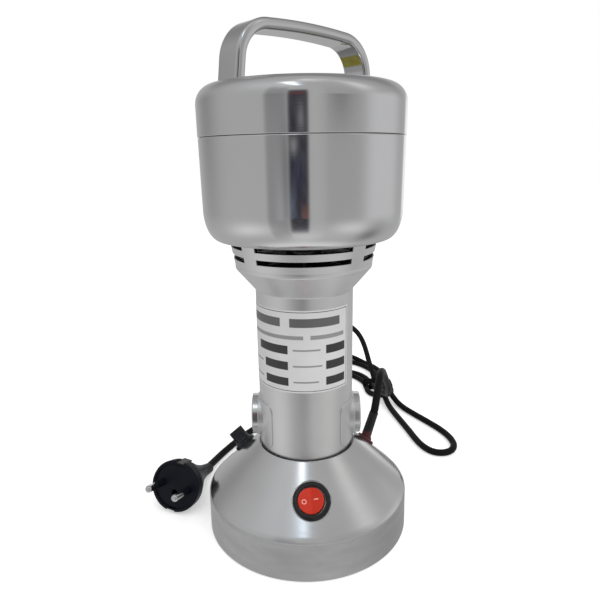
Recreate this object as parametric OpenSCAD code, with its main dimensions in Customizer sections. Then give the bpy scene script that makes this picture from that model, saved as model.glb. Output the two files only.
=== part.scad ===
// Electric grain mill: a lidded grinding chamber on a slim motor housing
// that stands in a cone-shaped base. All lengths are in millimetres.

/* [Base] */
// Diameter of the cast band, measured at the step
base_d = 125; // [120:0.5:134]
// Height of the step above the floor
step_h = 24.5; // [20:0.5:28]
// Outward flare of the band from the step to its foot, on the radius
band_flare = 0.4; // [0:0.1:1.5]
// Width of the ledge between the band and the turned cone
ledge = 0.6; // [0.2:0.1:1.5]
// Slope of the cone, in degrees from level
cone_slope = 44; // [41:0.5:47]
// Radius that rounds the cone over into its skirt
shoulder_r = 17.6; // [12:0.2:22]
// Wall thickness of the base casting
base_wall = 3.2; // [2.4:0.1:4]
// Thickness of the steel plate that closes the bottom
plate_t = 1.5; // [1:0.1:2.5]
// Height of the band's edge above the floor
foot_lift = 1; // [0.6:0.1:1.6]
// Diameter of one rubber foot
foot_d = 14; // [10:0.5:18]

/* [Motor housing] */
// Outer diameter of the neck
neck_d = 56.6; // [54:0.2:60]
// Wall thickness of the neck
neck_wall = 2.5; // [2:0.1:3.2]
// Length of neck that shows between the base and the flare
neck_h = 97.4; // [94:0.2:110]
// Shadow gap between the neck and the rim of the base
rim_gap = 1.2; // [0.6:0.1:1.6]
// Depth of neck held inside the base
seat_depth = 8.4; // [6:0.2:10]
// Height of the flare below the vents
flare_h = 12; // [10:0.5:15]
// Diameter of the vent ring at its foot
vent_d = 78.2; // [75:0.2:80]
// Diameter of the vent ring at its top
vent_top_d = 83.4; // [82:0.2:86]
// Height of the vent ring
vent_h = 16.8; // [16:0.2:20]
// Height of one vent slot
slot_h = 2.8; // [2:0.1:3.2]
// Spacing of the two rows of slots
slot_pitch = 6.6; // [5:0.1:7]
// Metal left above the upper row of slots
slot_top = 0.9; // [0.6:0.1:1.5]
// Slots in one row
slot_count = 4; // [3:1:6]
// Width of the pillar between two slots, in degrees
pillar_deg = 14; // [10:1:20]
// Half width of the raised pad behind a brush cap, in degrees
pad_half_deg = 45; // [38:1:50]
// Height of the raised pad
pad_h = 28; // [27:0.5:30]
// Relief of the raised pad
pad_t = 0.7; // [0.4:0.1:1]
// Height of the brushes above the rim of the base
brush_h = 16.4; // [16:0.2:20]
// Diameter of a brush cap
cap_d = 25; // [22:0.5:26]
// Thickness of a brush cap
cap_t = 3.6; // [3:0.1:5]

/* [Grinding chamber] */
// Outer diameter of the chamber and the lid
chamber_d = 110; // [106:0.5:116]
// Height of the chamber below the seam
chamber_h = 53.3; // [52:0.5:62]
// Width of the chamber's rounded bottom edge
chamber_round_w = 9.9; // [8:0.1:12]
// Height of the chamber's rounded bottom edge
chamber_round_h = 17.3; // [14:0.1:20]
// Wall thickness of the chamber casing
casing_t = 1.6; // [1.2:0.1:2]
// Wall thickness of the stainless bowl
bowl_t = 1.5; // [1:0.1:2]
// Inside corner radius at the bottom of the bowl
bowl_corner_r = 9; // [6:0.5:11]
// Height of the screwed collar above the seam
collar_h = 6.6; // [6:0.2:9]
// Wall thickness of the screwed collar
collar_t = 2.8; // [2.2:0.1:3.2]
// Thickness of the bracket that holds the upper bearing
bracket_t = 3; // [2.5:0.1:4]

/* [Blades] */
// Tip to tip length of the blades
blade_span = 86; // [70:1:88]
// Width of a blade at the shaft
blade_w = 16; // [12:0.5:18]
// Thickness of a blade
blade_t = 2; // [1.5:0.1:2.5]
// Height of the lower blade above the floor of the bowl
blade_lift = 7; // [6:0.2:9]
// Distance between the two blades
blade_gap = 6; // [4:0.5:9]
// Length of the turned-down tips of the lower blade
tip_len = 15; // [10:0.5:18]

/* [Lid and handle] */
// Height of the lid from the seam to its flat top
lid_h = 25.6; // [24:0.2:30]
// Width of the seam between the lid and the chamber
seam_gap = 0.4; // [0.3:0.1:0.8]
// Width of the lid's rounded top edge
lid_round_w = 10; // [8:0.5:12]
// Height of the lid's rounded top edge
lid_round_h = 12; // [10:0.5:13]
// Wall thickness of the lid
lid_t = 1.6; // [1.2:0.1:2]
// Thickness of the silicone seal
seal_t = 2.4; // [1.6:0.1:3]
// Width of the handle's band
grip_w = 16.5; // [14:0.5:22]
// Thickness of the handle's band
grip_t = 5; // [4.4:0.1:6]
// Distance of the handle's feet in from the side of the lid
grip_in = 9; // [8:0.25:12]
// How far each leg leans inward
grip_lean = 2.4; // [0:0.2:5]
// Radius of the handle's corners, at mid thickness
grip_r = 18; // [14:0.5:20]
// Height of the handle above the lid
grip_h = 31.6; // [28:0.2:38]
// Rise of the handle's top towards its middle
grip_crown = 0.9; // [0:0.1:3]
// Radius on the long edges of the handle
grip_edge_r = 1.8; // [1:0.1:2]
// Turn of the handle about the upright axis, in degrees
grip_turn = 42.7; // [0:0.1:90]

/* [Motor] */
// Diameter of the shaft
shaft_d = 8; // [6:0.5:9]
// Outer diameter of a ball bearing
bearing_d = 22; // [20:0.5:24]
// Width of a ball bearing
bearing_w = 7; // [6:0.5:8]
// Diameter of the commutator
commutator_d = 22; // [20:0.5:24]
// Length of the commutator
commutator_h = 20; // [14:0.5:22]
// Diameter of the armature core
armature_d = 31.6; // [28:0.2:33]
// Length of the armature and stator cores
core_h = 34; // [30:1:42]
// Slots in the armature core
armature_slots = 12; // [8:1:14]
// Height of the end turns of the windings
end_turn_h = 6.5; // [5:0.5:8]
// Gap between the armature and the stator
air_gap = 0.5; // [0.4:0.1:0.8]
// Diameter of the cooling fan
fan_d = 60; // [50:0.5:62]
// Height of the fan's blades
fan_h = 8; // [6:0.5:9]
// Blades on the cooling fan
fan_blades = 9; // [7:1:12]

/* [Switch, fuse and cord outlet] */
// Place of the switch round the base, in degrees from +X
switch_az = -87; // [-95:1:-80]
// Distance of the switch in from the side of the base
switch_in = 16.7; // [15.5:0.1:19]
// Diameter of the switch's bezel
bezel_d = 21.6; // [21:0.2:24]
// Thickness of the switch's bezel
bezel_t = 2.6; // [2:0.1:3]
// Diameter of the red rocker
rocker_d = 15; // [14:0.2:16.4]
// Angle of the rocker to each side, in degrees
rocker_tilt = 8; // [6:0.5:9]
// Place of the fuse holder round the base, in degrees from +X
fuse_az = 155; // [145:1:165]
// Distance of the fuse holder in from the side of the base
fuse_in = 17; // [15.5:0.5:19]
// Diameter of the fuse holder's flange
fuse_flange_d = 14.6; // [13:0.2:16]
// Diameter of the fuse holder's cap
fuse_cap_d = 9.8; // [9:0.2:11]
// Height of the fuse holder's cap
fuse_cap_h = 9.4; // [8:0.2:11]
// Place of the cord outlet round the base, in degrees from +X
outlet_az = 28; // [20:1:35]
// Distance of the cord outlet in from the side of the base
outlet_in = 17.5; // [16.5:0.5:20]
// Diameter of the cord outlet's flange
outlet_d = 12; // [10:0.5:14]

/* [Cord and plug] */
// Diameter of the mains cord
cord_d = 5.2; // [5:0.1:5.4]
// Diameter of the plug's face
plug_d = 36; // [35:0.2:38]
// Length of the plug's drum behind its face
plug_drum = 9; // [8:0.5:11]
// Length of the plug from its face to the end of its tail
plug_len = 50; // [48:1:54]
// Diameter of a plug pin
pin_d = 4.8; // [4.4:0.1:5]
// Length of a plug pin
pin_len = 19; // [17:0.5:19]
// Spacing of the two plug pins
pin_pitch = 19; // [18:0.5:20]

/* [Hidden] */
$fn = 96;

// clearances
run_gap = 0.05;      // between a shaft or pin and its bore, on the radius
fit_gap = 0.1;       // between a piece and the seat that holds it, on the radius
face_gap = 0.3;      // between curved faces that move past each other
eps = 0.01;          // overlap of a cutting shape with the face it cuts

// colours
polished = [0.78, 0.78, 0.79];
satin = [0.70, 0.71, 0.71];
steel = [0.62, 0.63, 0.65];
brass = [0.72, 0.58, 0.30];
copper = [0.72, 0.38, 0.20];
black = [0.06, 0.06, 0.07];
dark = [0.22, 0.22, 0.24];
red = [0.85, 0.14, 0.08];
maroon = [0.25, 0.10, 0.12];

// base: the shoulder's arc runs from the cone to the step
shoulder_end = 34;
base_r = base_d / 2;
step_r = base_r - ledge;
switch_r = base_r - switch_in;
fuse_r = base_r - fuse_in;
outlet_r = base_r - outlet_in;
shoulder_c = [step_r - shoulder_r * cos(shoulder_end), step_h - shoulder_r * sin(shoulder_end)];
shoulder_top = shoulder_c + shoulder_r * [sin(cone_slope), cos(cone_slope)];
function cone_z(r) = shoulder_top[1] + (shoulder_top[0] - r) * tan(cone_slope);
neck_r = neck_d / 2;
rim_r = neck_r + rim_gap;
rim_z = cone_z(rim_r);
rim_chamfer = 0.7;
plate_z = foot_lift + 0.6;
shelf_t = 3.2;
shelf_r = 19;
foot_ring_r = 44;
boss_r = 4.2;
boss_ring_r = 50;
base_bolts = 4;

// housing
seat_z = rim_z - seat_depth;
flare_z = rim_z + neck_h;
vent_z = flare_z + flare_h;
chamber_z = vent_z + vent_h;
neck_ir = neck_r - neck_wall;
vent_r = vent_d / 2;
vent_top_r = vent_top_d / 2;
foot_flange_t = 4;
housing_bolt_r = 23.5;
brush_z = rim_z + brush_h;
pad_z = rim_z + 2;
boss_face = neck_r + 1.1;
cap_face = boss_face + cap_t;
lug_ring_r = vent_r - neck_wall - 4;

// motor
shaft_r = shaft_d / 2;
lower_bracket_z = seat_z + foot_flange_t;
lower_bracket_t = 3;
bearing_r = bearing_d / 2;
lower_bearing_z = lower_bracket_z + lower_bracket_t - bearing_w;
hub_wall = 2.6;
commutator_z = brush_z - commutator_h / 2;
core_z = commutator_z + commutator_h + end_turn_h + 2;
armature_r = armature_d / 2;
stator_bore_r = armature_r + air_gap;
core_top = core_z + core_h;
fan_z = vent_z - 4.5;
fan_plate_t = 1.6;
brush_w = 8;
brush_d = 5;
brush_len = 10;
holder_r = 6.5;
holder_in = commutator_d / 2 + 2;

// chamber, from the casing's floor upwards
seam_z = chamber_z + chamber_h;
chamber_r = chamber_d / 2;
casing_floor_r = 30;
bracket_z = chamber_z + casing_t;
bracket_r = casing_floor_r + 6;
bowl_z = bracket_z + bracket_t;
bowl_floor = bowl_z + bowl_t;
lid_ring_t = 2;
thread_gap = 0.4;
lid_ring_r = chamber_r - lid_t - fit_gap / 2;
lid_ring_ir = lid_ring_r - lid_ring_t;
collar_r = lid_ring_ir - thread_gap;
bowl_r = collar_r - collar_t;
bowl_ir = bowl_r - bowl_t;
bowl_top = seam_z + collar_h + 0.5;
upper_bearing_z = bracket_z - bearing_w - 1;
seal_r = 8.8;

// blades, stacked on the shaft
blade_z = bowl_floor + blade_lift;
upper_blade_z = blade_z + blade_t + blade_gap;
washer_t = 1.5;
nut_z = upper_blade_z + blade_t + washer_t;
nut_h = 6.5;
nut_af = 13;
shaft_top = nut_z + nut_h - 2;
shaft_foot = lower_bearing_z - 1.5;

// lid
lid_bottom = seam_z + seam_gap;
lid_top = seam_z + lid_h;
seal_z = bowl_top + 0.1;
ring_flange_z = seal_z + seal_t + 0.1;
ring_flange_t = 1.5;
grip_half = chamber_r - grip_in;
grip_top = lid_top + grip_h - grip_t / 2 - grip_crown;
grip_foot_z = lid_top - lid_round_h / 2;
grip_screw_r = 1.5;

// points on a circle or an ellipse, from angle a0 to a1
function arc(c, rx, ry, a0, a1, n) =
    [for (i = [0:n]) let (a = a0 + (a1 - a0) * i / n) c + [rx * cos(a), ry * sin(a)]];

// a hollow cylinder between two heights
module tube(r_in, r_out, z0, z1) {
    translate([0, 0, z0])
        difference() {
            cylinder(r = r_out, h = z1 - z0);
            translate([0, 0, -1]) cylinder(r = r_in, h = z1 - z0 + 2);
        }
}

// places children on the cone with +Z along the outward normal
module on_cone(az, r) {
    translate([r * cos(az), r * sin(az), cone_z(r)]) rotate([0, cone_slope, az]) children();
}

// repeats children round the upright axis
module around(count, start = 0) {
    for (i = [0:count - 1]) rotate([0, 0, start + i * 360 / count]) children();
}

// ---------------------------------------------------------------- base
function base_outline() = concat(
    [[base_r + band_flare - 0.6, foot_lift], [base_r + band_flare, foot_lift + 0.8], [base_r, step_h - 0.3],
     [step_r, step_h]],
    arc(shoulder_c, shoulder_r, shoulder_r, shoulder_end, 90 - cone_slope, 8),
    [[rim_r + rim_chamfer, cone_z(rim_r + rim_chamfer)], [rim_r, cone_z(rim_r + rim_chamfer) + 0.1]]);

spot_deep = 1.2;
fuse_spot = 0.5;
outlet_spot = 0.5;

module base_shell() {
    cone_in = shoulder_c + (shoulder_r - base_wall) * [sin(cone_slope), cos(cone_slope)];
    shelf_cut = seat_z - shelf_t;
    color(polished)
        difference() {
            union() {
                rotate_extrude() polygon(concat(base_outline(), [
                    [rim_r, seat_z], [shelf_r, seat_z], [shelf_r, shelf_cut],
                    [cone_in[0] - (shelf_cut - cone_in[1]) / tan(cone_slope), shelf_cut],
                    cone_in,
                    [step_r - base_wall, step_h - 4],
                    [base_r + band_flare - base_wall, plate_z]]));
                // screw bosses, from the plate up to the cone
                intersection() {
                    around(base_bolts, 45) translate([boss_ring_r, 0, plate_z + plate_t])
                        cylinder(r = boss_r, h = rim_z);
                    rotate_extrude() polygon(concat(base_outline(), [[0, rim_z], [0, foot_lift]]));
                }
            }
            // spot faces and holes for the switch, the fuse holder and the cord
            on_cone(switch_az, switch_r) {
                translate([0, 0, -spot_deep]) cylinder(d = bezel_d + 2 * fit_gap + 0.8, h = 8);
                translate([0, 0, -12]) cylinder(r = switch_body_r + fit_gap, h = 20);
            }
            on_cone(fuse_az, fuse_r) {
                translate([0, 0, -fuse_spot]) cylinder(d = fuse_flange_d + 2 * fit_gap, h = 5);
                translate([0, 0, -12]) cylinder(r = fuse_body_r + fit_gap, h = 20);
            }
            on_cone(outlet_az, outlet_r) {
                translate([0, 0, -outlet_spot]) cylinder(d = outlet_d + 2 * fit_gap, h = 5);
                translate([0, 0, -12]) cylinder(r = outlet_body_r + fit_gap, h = 20);
            }
            // holes for the housing screws and the plate screws
            around(4, 45) translate([housing_bolt_r, 0, seat_z - shelf_t - 1])
                cylinder(r = m4_r + fit_gap, h = shelf_t + 2);
            around(base_bolts, 45) translate([boss_ring_r, 0, 0])
                cylinder(r = m3_r, h = plate_z + plate_screw_len + 2);
        }
}

module base_plate() {
    color(steel)
        difference() {
            translate([0, 0, plate_z]) cylinder(r = base_r - base_wall - fit_gap, h = plate_t);
            around(base_bolts, 45) translate([boss_ring_r, 0, 0]) cylinder(r = m3_r + fit_gap, h = 10);
            around(base_bolts) translate([foot_ring_r, 0, 0]) cylinder(r = foot_stud_r, h = 10);
        }
}

foot_stud_r = 2.5;

module rubber_feet() {
    color(black)
        around(base_bolts) translate([foot_ring_r, 0, 0]) {
            cylinder(d1 = foot_d - 1.5, d2 = foot_d, h = plate_z);
            cylinder(r = foot_stud_r, h = plate_z + plate_t + 1);
        }
}

m3_r = 1.5;
m4_r = 2;
plate_screw_len = 8;

// pan head screw with its head's seat at z = 0 and its shank along +Z;
// the head is sized by the screw's own radius
pan_head = 1.8;
pan_height = 0.7;

module pan_screw(r, length) {
    cylinder(r = r, h = length);
    difference() {
        translate([0, 0, -r * pan_height])
            cylinder(r1 = r * (pan_head - 0.3), r2 = r * pan_head, h = r * pan_height);
        translate([-r * 1.2, -r * 0.2, -r]) cube([r * 2.4, r * 0.4, r * pan_height]);
        translate([-r * 0.2, -r * 1.2, -r]) cube([r * 0.4, r * 2.4, r * pan_height]);
    }
}

module base_screws() {
    color(steel)
        around(base_bolts, 45) translate([boss_ring_r, 0, plate_z]) pan_screw(m3_r, plate_screw_len);
}

// -------------------------------------------------------------- switch
switch_body_r = 9.8;
switch_body_h = 14;
rocker_well = 0.8;
pivot_z = -1.6;
pivot_r = 1.1;
pivot_len = 18.2;
tab_t = 0.8;
tab_w = 4.8;
tab_len = 8;

// the frame of the switch: its bezel rests on the spot face
module on_switch() {
    on_cone(switch_az, switch_r) translate([0, 0, -spot_deep]) rotate([0, 0, 90]) children();
}

module switch_bezel() {
    color(black)
        on_switch()
            difference() {
                union() {
                    rotate_extrude() polygon(concat(
                        [[0, 0], [bezel_d / 2, 0], [bezel_d / 2, 0.9]],
                        arc([bezel_d / 2 - 1.7, 0.9], 1.7, bezel_t - 0.9, 0, 90, 5),
                        [[0, bezel_t]]));
                    translate([0, 0, -switch_body_h]) cylinder(r = switch_body_r, h = switch_body_h + eps);
                    for (x = [-4, 4])
                        translate([x - tab_t / 2, -tab_w / 2, -switch_body_h - tab_len])
                            cube([tab_t, tab_w, tab_len + eps]);
                }
                translate([0, 0, -7]) cylinder(r = rocker_d / 2 + rocker_well, h = 12);
                translate([0, 0, pivot_z]) rotate([90, 0, 0])
                    cylinder(r = pivot_r + run_gap, h = pivot_len + 2 * fit_gap, center = true);
            }
}

module switch_rocker() {
    half = rocker_d / 2;
    rise = half * tan(rocker_tilt);
    color(red)
        on_switch()
            translate([0, 0, pivot_z]) rotate([0, -rocker_tilt, 0]) {
                intersection() {
                    translate([0, 0, -2.6]) cylinder(r = half, h = 12);
                    rotate([90, 0, 0]) linear_extrude(rocker_d, center = true)
                        polygon([[-half, -1], [-3, -2.6], [3, -2.6], [half, -1],
                                 [half, 3.4 + 2 * rise], [0, 3.4], [-half, 3.4 + 2 * rise]]);
                }
                rotate([90, 0, 0]) cylinder(r = pivot_r, h = pivot_len, center = true);
            }
}

// ---------------------------------------------------------- fuse holder
fuse_body_r = 5.9;
fuse_body_h = 26;
fuse_bore_r = 3.6;
fuse_rim_t = 2.4;
fuse_tube_r = 2.6;
fuse_tube_h = 20;
carrier_h = 5;

module on_fuse() {
    on_cone(fuse_az, fuse_r) translate([0, 0, -fuse_spot]) children();
}

module fuse_holder() {
    color(black)
        on_fuse()
            difference() {
                union() {
                    rotate_extrude() polygon(concat(
                        [[0, 0], [fuse_flange_d / 2, 0], [fuse_flange_d / 2, 1.2]],
                        arc([fuse_flange_d / 2 - 1.2, 1.2], 1.2, fuse_rim_t - 1.2, 0, 90, 4),
                        [[0, fuse_rim_t]]));
                    translate([0, 0, -fuse_body_h]) cylinder(r = fuse_body_r, h = fuse_body_h + eps);
                    translate([-2, -0.4, -fuse_body_h - 6]) cube([4, 0.8, 6 + eps]);
                }
                translate([0, 0, -fuse_body_h + 2]) cylinder(r = fuse_bore_r, h = fuse_body_h + 8);
            }
}

module fuse_cartridge() {
    foot = fuse_rim_t - carrier_h - fuse_tube_h;
    color(polished)
        on_fuse() {
            translate([0, 0, foot + 5]) cylinder(r = fuse_tube_r - 0.15, h = fuse_tube_h - 10);
            for (z = [0, fuse_tube_h - 5]) translate([0, 0, foot + z]) cylinder(r = fuse_tube_r, h = 5);
        }
}

module fuse_cap() {
    r = fuse_cap_d / 2;
    color(black)
        on_fuse()
            translate([0, 0, fuse_rim_t + 0.05])
                difference() {
                    union() {
                        rotate_extrude() polygon(concat(
                            [[0, 0], [r + 1, 0], [r + 1, 0.5]],
                            arc([r + 1, 3.4], 1, 2.9, 260, 180, 6),
                            [[r, fuse_cap_h - 0.6], [r - 0.6, fuse_cap_h], [0, fuse_cap_h]]));
                        translate([0, 0, -carrier_h])
                            cylinder(r = fuse_bore_r - face_gap, h = carrier_h + eps);
                    }
                    translate([-r, -0.6, fuse_cap_h - 1.6]) cube([2 * r, 1.2, 3]);
                    // grip flutes round the cap
                    around(8) translate([r + 0.55, 0, 4.2]) cylinder(r = 0.9, h = fuse_cap_h, $fn = 16);
                }
}

// ---------------------------------------------------------- cord outlet
outlet_body_r = 4.6;
outlet_rim_t = 2;
relief_len = 20;
relief_lean = 23;
relief_tip = 0.35;
relief_r = cord_d / 2 + 1;

// the flange lies on the cone; the sleeve leans back from the cone's normal towards upright
module on_outlet() {
    on_cone(outlet_az, outlet_r) translate([0, 0, -outlet_spot]) children();
}

module cord_outlet() {
    color(maroon)
        on_outlet()
            difference() {
                union() {
                    rotate_extrude() polygon(concat(
                        [[0, -8], [outlet_body_r, -8], [outlet_body_r, 0], [outlet_d / 2, 0],
                         [outlet_d / 2, 0.9]],
                        arc([outlet_d / 2 - 1, 0.9], 1, outlet_rim_t - 0.9, 0, 90, 4),
                        [[0, outlet_rim_t]]));
                    rotate([0, -relief_lean, 0])
                        cylinder(r1 = relief_r, r2 = cord_d / 2 + relief_tip, h = relief_len);
                }
                rotate([0, -relief_lean, 0]) cylinder(d = cord_d, h = relief_len + 5);
            }
}

// -------------------------------------------------------- motor housing
function housing_outline() = [
    [neck_r, seat_z], [neck_r, flare_z - 1], [neck_r + 0.3, flare_z], [vent_r - 0.4, vent_z],
    [vent_r, vent_z + 1], [vent_r, vent_z + 2.8], [vent_top_r, chamber_z]];

module motor_housing() {
    slot_deg = 360 / slot_count - pillar_deg;
    color(satin)
        difference() {
            union() {
                rotate_extrude() polygon(concat(housing_outline(), [
                    [vent_top_r - neck_wall, chamber_z], [vent_r - neck_wall, vent_z + 3],
                    [vent_r - neck_wall - 0.5, vent_z + 1], [neck_ir, flare_z + 1],
                    [neck_ir, seat_z + foot_flange_t],
                    [shelf_r, seat_z + foot_flange_t], [shelf_r, seat_z]]));
                // pads and round bosses that carry the brush caps
                for (side = [0, 180]) rotate([0, 0, side]) {
                    intersection() {
                        tube(neck_ir, neck_r + pad_t, pad_z, pad_z + pad_h);
                        rotate([90, 0, 90]) linear_extrude(neck_r + 5) pad_face();
                    }
                    translate([neck_ir + 0.5, 0, brush_z]) rotate([0, 90, 0])
                        cylinder(d = cap_d + 1, h = boss_face - neck_ir - 0.5);
                }
                // lugs for the bracket screws, behind the pillars
                intersection() {
                    around(4, 45) translate([lug_ring_r, -4, chamber_z - 7]) cube([8, 8, 7]);
                    rotate_extrude() polygon(concat(housing_outline(), [[0, chamber_z], [0, seat_z]]));
                }
            }
            // two rows of vent slots
            for (row = [0, 1])
                translate([0, 0, chamber_z - slot_top - slot_h - row * slot_pitch])
                    around(slot_count, -90 - slot_deg / 2)
                        rotate_extrude(angle = slot_deg)
                            translate([lug_ring_r - 2, 0]) square([20, slot_h]);
            // brush holes, tapped holes in the foot and in the lugs
            translate([0, 0, brush_z]) rotate([0, 90, 0])
                cylinder(r = holder_r + fit_gap, h = 80, center = true);
            around(4, 45) translate([housing_bolt_r, 0, seat_z - 1]) cylinder(r = m4_r, h = 7);
            around(4, 45) translate([lug_ring_r + 3, 0, chamber_z - 8]) cylinder(r = m3_r, h = 10);
        }
}

// outline of the pad, as seen from its side, with round corners
module pad_face() {
    half = neck_r * sin(pad_half_deg);
    corner = 5;
    hull() {
        for (s = [-1, 1]) translate([s * (half - corner), pad_z + pad_h - corner]) circle(r = corner);
        translate([-half, pad_z]) square([2 * half, 1]);
    }
}

module housing_screws() {
    color(steel)
        around(4, 45) translate([housing_bolt_r, 0, seat_z - shelf_t]) pan_screw(m4_r, shelf_t + 4);
}

// --------------------------------------------------------------- brushes
// side is +1 on the right and -1 on the left
module on_brush(side) {
    translate([0, 0, brush_z]) rotate([0, 0, side > 0 ? 0 : 180]) rotate([0, 90, 0]) children();
}

module brush_cap(side) {
    color(satin)
        on_brush(side)
            difference() {
                rotate_extrude() polygon(concat(
                    [[0, boss_face], [cap_d / 2, boss_face], [cap_d / 2, cap_face - 0.8]],
                    arc([cap_d / 2 - 0.8, cap_face - 0.8], 0.8, 0.8, 0, 90, 4),
                    [[cap_d / 2 - 3, cap_face], [cap_d / 2 - 3.8, cap_face - 0.6], [0, cap_face - 0.6]]));
                translate([-6, -0.9, cap_face - 1.8]) cube([12, 1.8, 3]);
            }
}

module brush_holder(side) {
    color(dark)
        on_brush(side)
            difference() {
                translate([0, 0, holder_in]) cylinder(r = holder_r, h = boss_face - holder_in);
                translate([-brush_w / 2 - fit_gap, -brush_d / 2 - fit_gap, holder_in - 1])
                    cube([brush_w + 2 * fit_gap, brush_d + 2 * fit_gap, 30]);
            }
}

module carbon_brush(side) {
    color([0.15, 0.15, 0.16])
        difference() {
            on_brush(side)
                translate([-brush_w / 2, -brush_d / 2, commutator_d / 2 - 2])
                    cube([brush_w, brush_d, brush_len]);
            translate([0, 0, brush_z - 10]) cylinder(d = commutator_d + 2 * run_gap, h = 20);
        }
}

module brush_spring(side) {
    spring_z = commutator_d / 2 - 2 + brush_len;
    color(brass)
        on_brush(side)
            translate([0, 0, spring_z])
                difference() {
                    cylinder(r = 2.2, h = boss_face - spring_z);
                    translate([0, 0, -1]) cylinder(r = 1.5, h = 30);
                }
}

module brush_cap_left() { brush_cap(-1); }
module brush_cap_right() { brush_cap(1); }
module brush_holder_left() { brush_holder(-1); }
module brush_holder_right() { brush_holder(1); }
module carbon_brush_left() { carbon_brush(-1); }
module carbon_brush_right() { carbon_brush(1); }
module brush_spring_left() { brush_spring(-1); }
module brush_spring_right() { brush_spring(1); }

// ----------------------------------------------------------------- motor
pole_deg = 120;
coil_r_in = stator_bore_r + 2.2;
coil_r_out = neck_ir - 2.6;

// two-pole stator stack with a window on each side for the coils
module stator_core() {
    color(steel)
        translate([0, 0, core_z]) linear_extrude(core_h)
            difference() {
                circle(r = neck_ir - fit_gap);
                circle(r = stator_bore_r);
                for (side = [0, 180]) rotate(side)
                    sector(coil_r_in - fit_gap, coil_r_out + fit_gap, -window_deg / 2, window_deg / 2);
            }
}

window_deg = 180 - pole_deg;

// a flat ring sector, drawn between two angles
module sector(r_in, r_out, a0, a1) {
    polygon(concat(arc([0, 0], r_out, r_out, a0, a1, 16), arc([0, 0], r_in, r_in, a1, a0, 16)));
}

module stator_windings() {
    color(copper)
        for (pole = [90, 270]) rotate([0, 0, pole]) {
            for (z = [core_z - end_turn_h, core_top]) translate([0, 0, z]) linear_extrude(end_turn_h)
                sector(coil_r_in, coil_r_out, -88, 88);
            for (s = [-1, 1]) translate([0, 0, core_z - 1]) linear_extrude(core_h + 2)
                sector(coil_r_in, coil_r_out, s > 0 ? 90 - window_deg / 2 + 1 : -89,
                       s > 0 ? 89 : window_deg / 2 - 91);
        }
}

module armature_core() {
    color(steel)
        translate([0, 0, core_z]) linear_extrude(core_h)
            difference() {
                circle(r = armature_r);
                circle(r = shaft_r);
                for (i = [0:armature_slots - 1]) rotate(i * 360 / armature_slots) {
                    translate([armature_r - 3.6, 0]) circle(r = 1.8);
                    translate([armature_r - 3.6, -0.8]) square([4, 1.6]);
                }
            }
}

module armature_windings() {
    turn_r = armature_r - 1.6;
    color(copper)
        union() {
            for (z = [core_z - end_turn_h, core_top])
                tube(shaft_r + 2, turn_r, z, z + end_turn_h);
            for (i = [0:armature_slots - 1]) rotate([0, 0, i * 360 / armature_slots])
                translate([armature_r - 3.6, 0, core_z - 1]) cylinder(r = 1.5, h = core_h + 2);
        }
}

// segmented copper barrel with a riser at its upper end
module commutator() {
    top = commutator_z + commutator_h;
    riser_h = 2.4;
    color(copper)
        difference() {
            union() {
                tube(shaft_r, commutator_d / 2, commutator_z, top);
                tube(shaft_r, commutator_d / 2 + 1.2, top - riser_h, top);
            }
            around(2 * armature_slots)
                translate([commutator_d / 2 - 0.6, -0.2, commutator_z - 1])
                    cube([3, 0.4, commutator_h + 2]);
        }
}

module motor_shaft() {
    color(steel)
        translate([0, 0, shaft_foot]) cylinder(r = shaft_r, h = shaft_top - shaft_foot);
}

// ball bearing drawn as one ring with the grooves of its shields
module bearing(z) {
    color(steel)
        difference() {
            tube(shaft_r + run_gap, bearing_r, z, z + bearing_w);
            for (h = [-1, bearing_w - 0.4]) tube(shaft_r + 2.2, bearing_r - 2.2, z + h, z + h + 1.4);
        }
}

module lower_bearing() { bearing(lower_bearing_z); }
module upper_bearing() { bearing(upper_bearing_z); }

module lower_bracket() {
    top = lower_bracket_z + lower_bracket_t;
    hub_r = bearing_r + hub_wall;
    hub_floor = 1.2;
    color(satin)
        difference() {
            union() {
                translate([0, 0, lower_bracket_z]) cylinder(r = neck_ir - fit_gap, h = lower_bracket_t);
                translate([0, 0, lower_bearing_z - hub_floor])
                    cylinder(r = hub_r, h = top - lower_bearing_z + hub_floor);
            }
            translate([0, 0, lower_bearing_z]) cylinder(r = bearing_r, h = bearing_w + 1);
            translate([0, 0, lower_bearing_z - 3]) cylinder(r = bearing_r - 3, h = 5);
            around(4) translate([(hub_r + neck_ir) / 2, 0, lower_bracket_z - 1]) cylinder(r = 3, h = 8);
        }
}

module upper_bracket() {
    hub_r = bearing_r + hub_wall;
    hub_z = upper_bearing_z - 0.5;
    color(satin)
        difference() {
            union() {
                translate([0, 0, bracket_z]) cylinder(r = bracket_r, h = bracket_t);
                translate([0, 0, hub_z]) cylinder(r = hub_r, h = bracket_z - hub_z + eps);
                around(4, 45) translate([hub_r - 1, -1.5, bracket_z - 4])
                    cube([casing_floor_r - hub_r, 3, 4 + eps]);
            }
            translate([0, 0, hub_z - 1]) cylinder(r = bearing_r, h = bearing_w + 1.5);
            translate([0, 0, hub_z]) cylinder(r = bearing_r - 3, h = 30);
            around(4, 45) translate([lug_ring_r + 3, 0, bracket_z - 1]) screw_hole();
            around(3, 90) translate([bowl_bolt_r, 0, bracket_z - 5]) cylinder(r = m3_r, h = 12);
        }
}

bowl_bolt_r = 20;
lug_thread = 5.4;
csk_h = 1.6;

// countersunk hole through the bracket, from one below its foot
module screw_hole() {
    cylinder(r = m3_r + fit_gap, h = bracket_t + 2);
    translate([0, 0, 1 + bracket_t - csk_h])
        cylinder(r1 = m3_r + fit_gap, r2 = m3_r + csk_h + fit_gap, h = csk_h);
}

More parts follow.
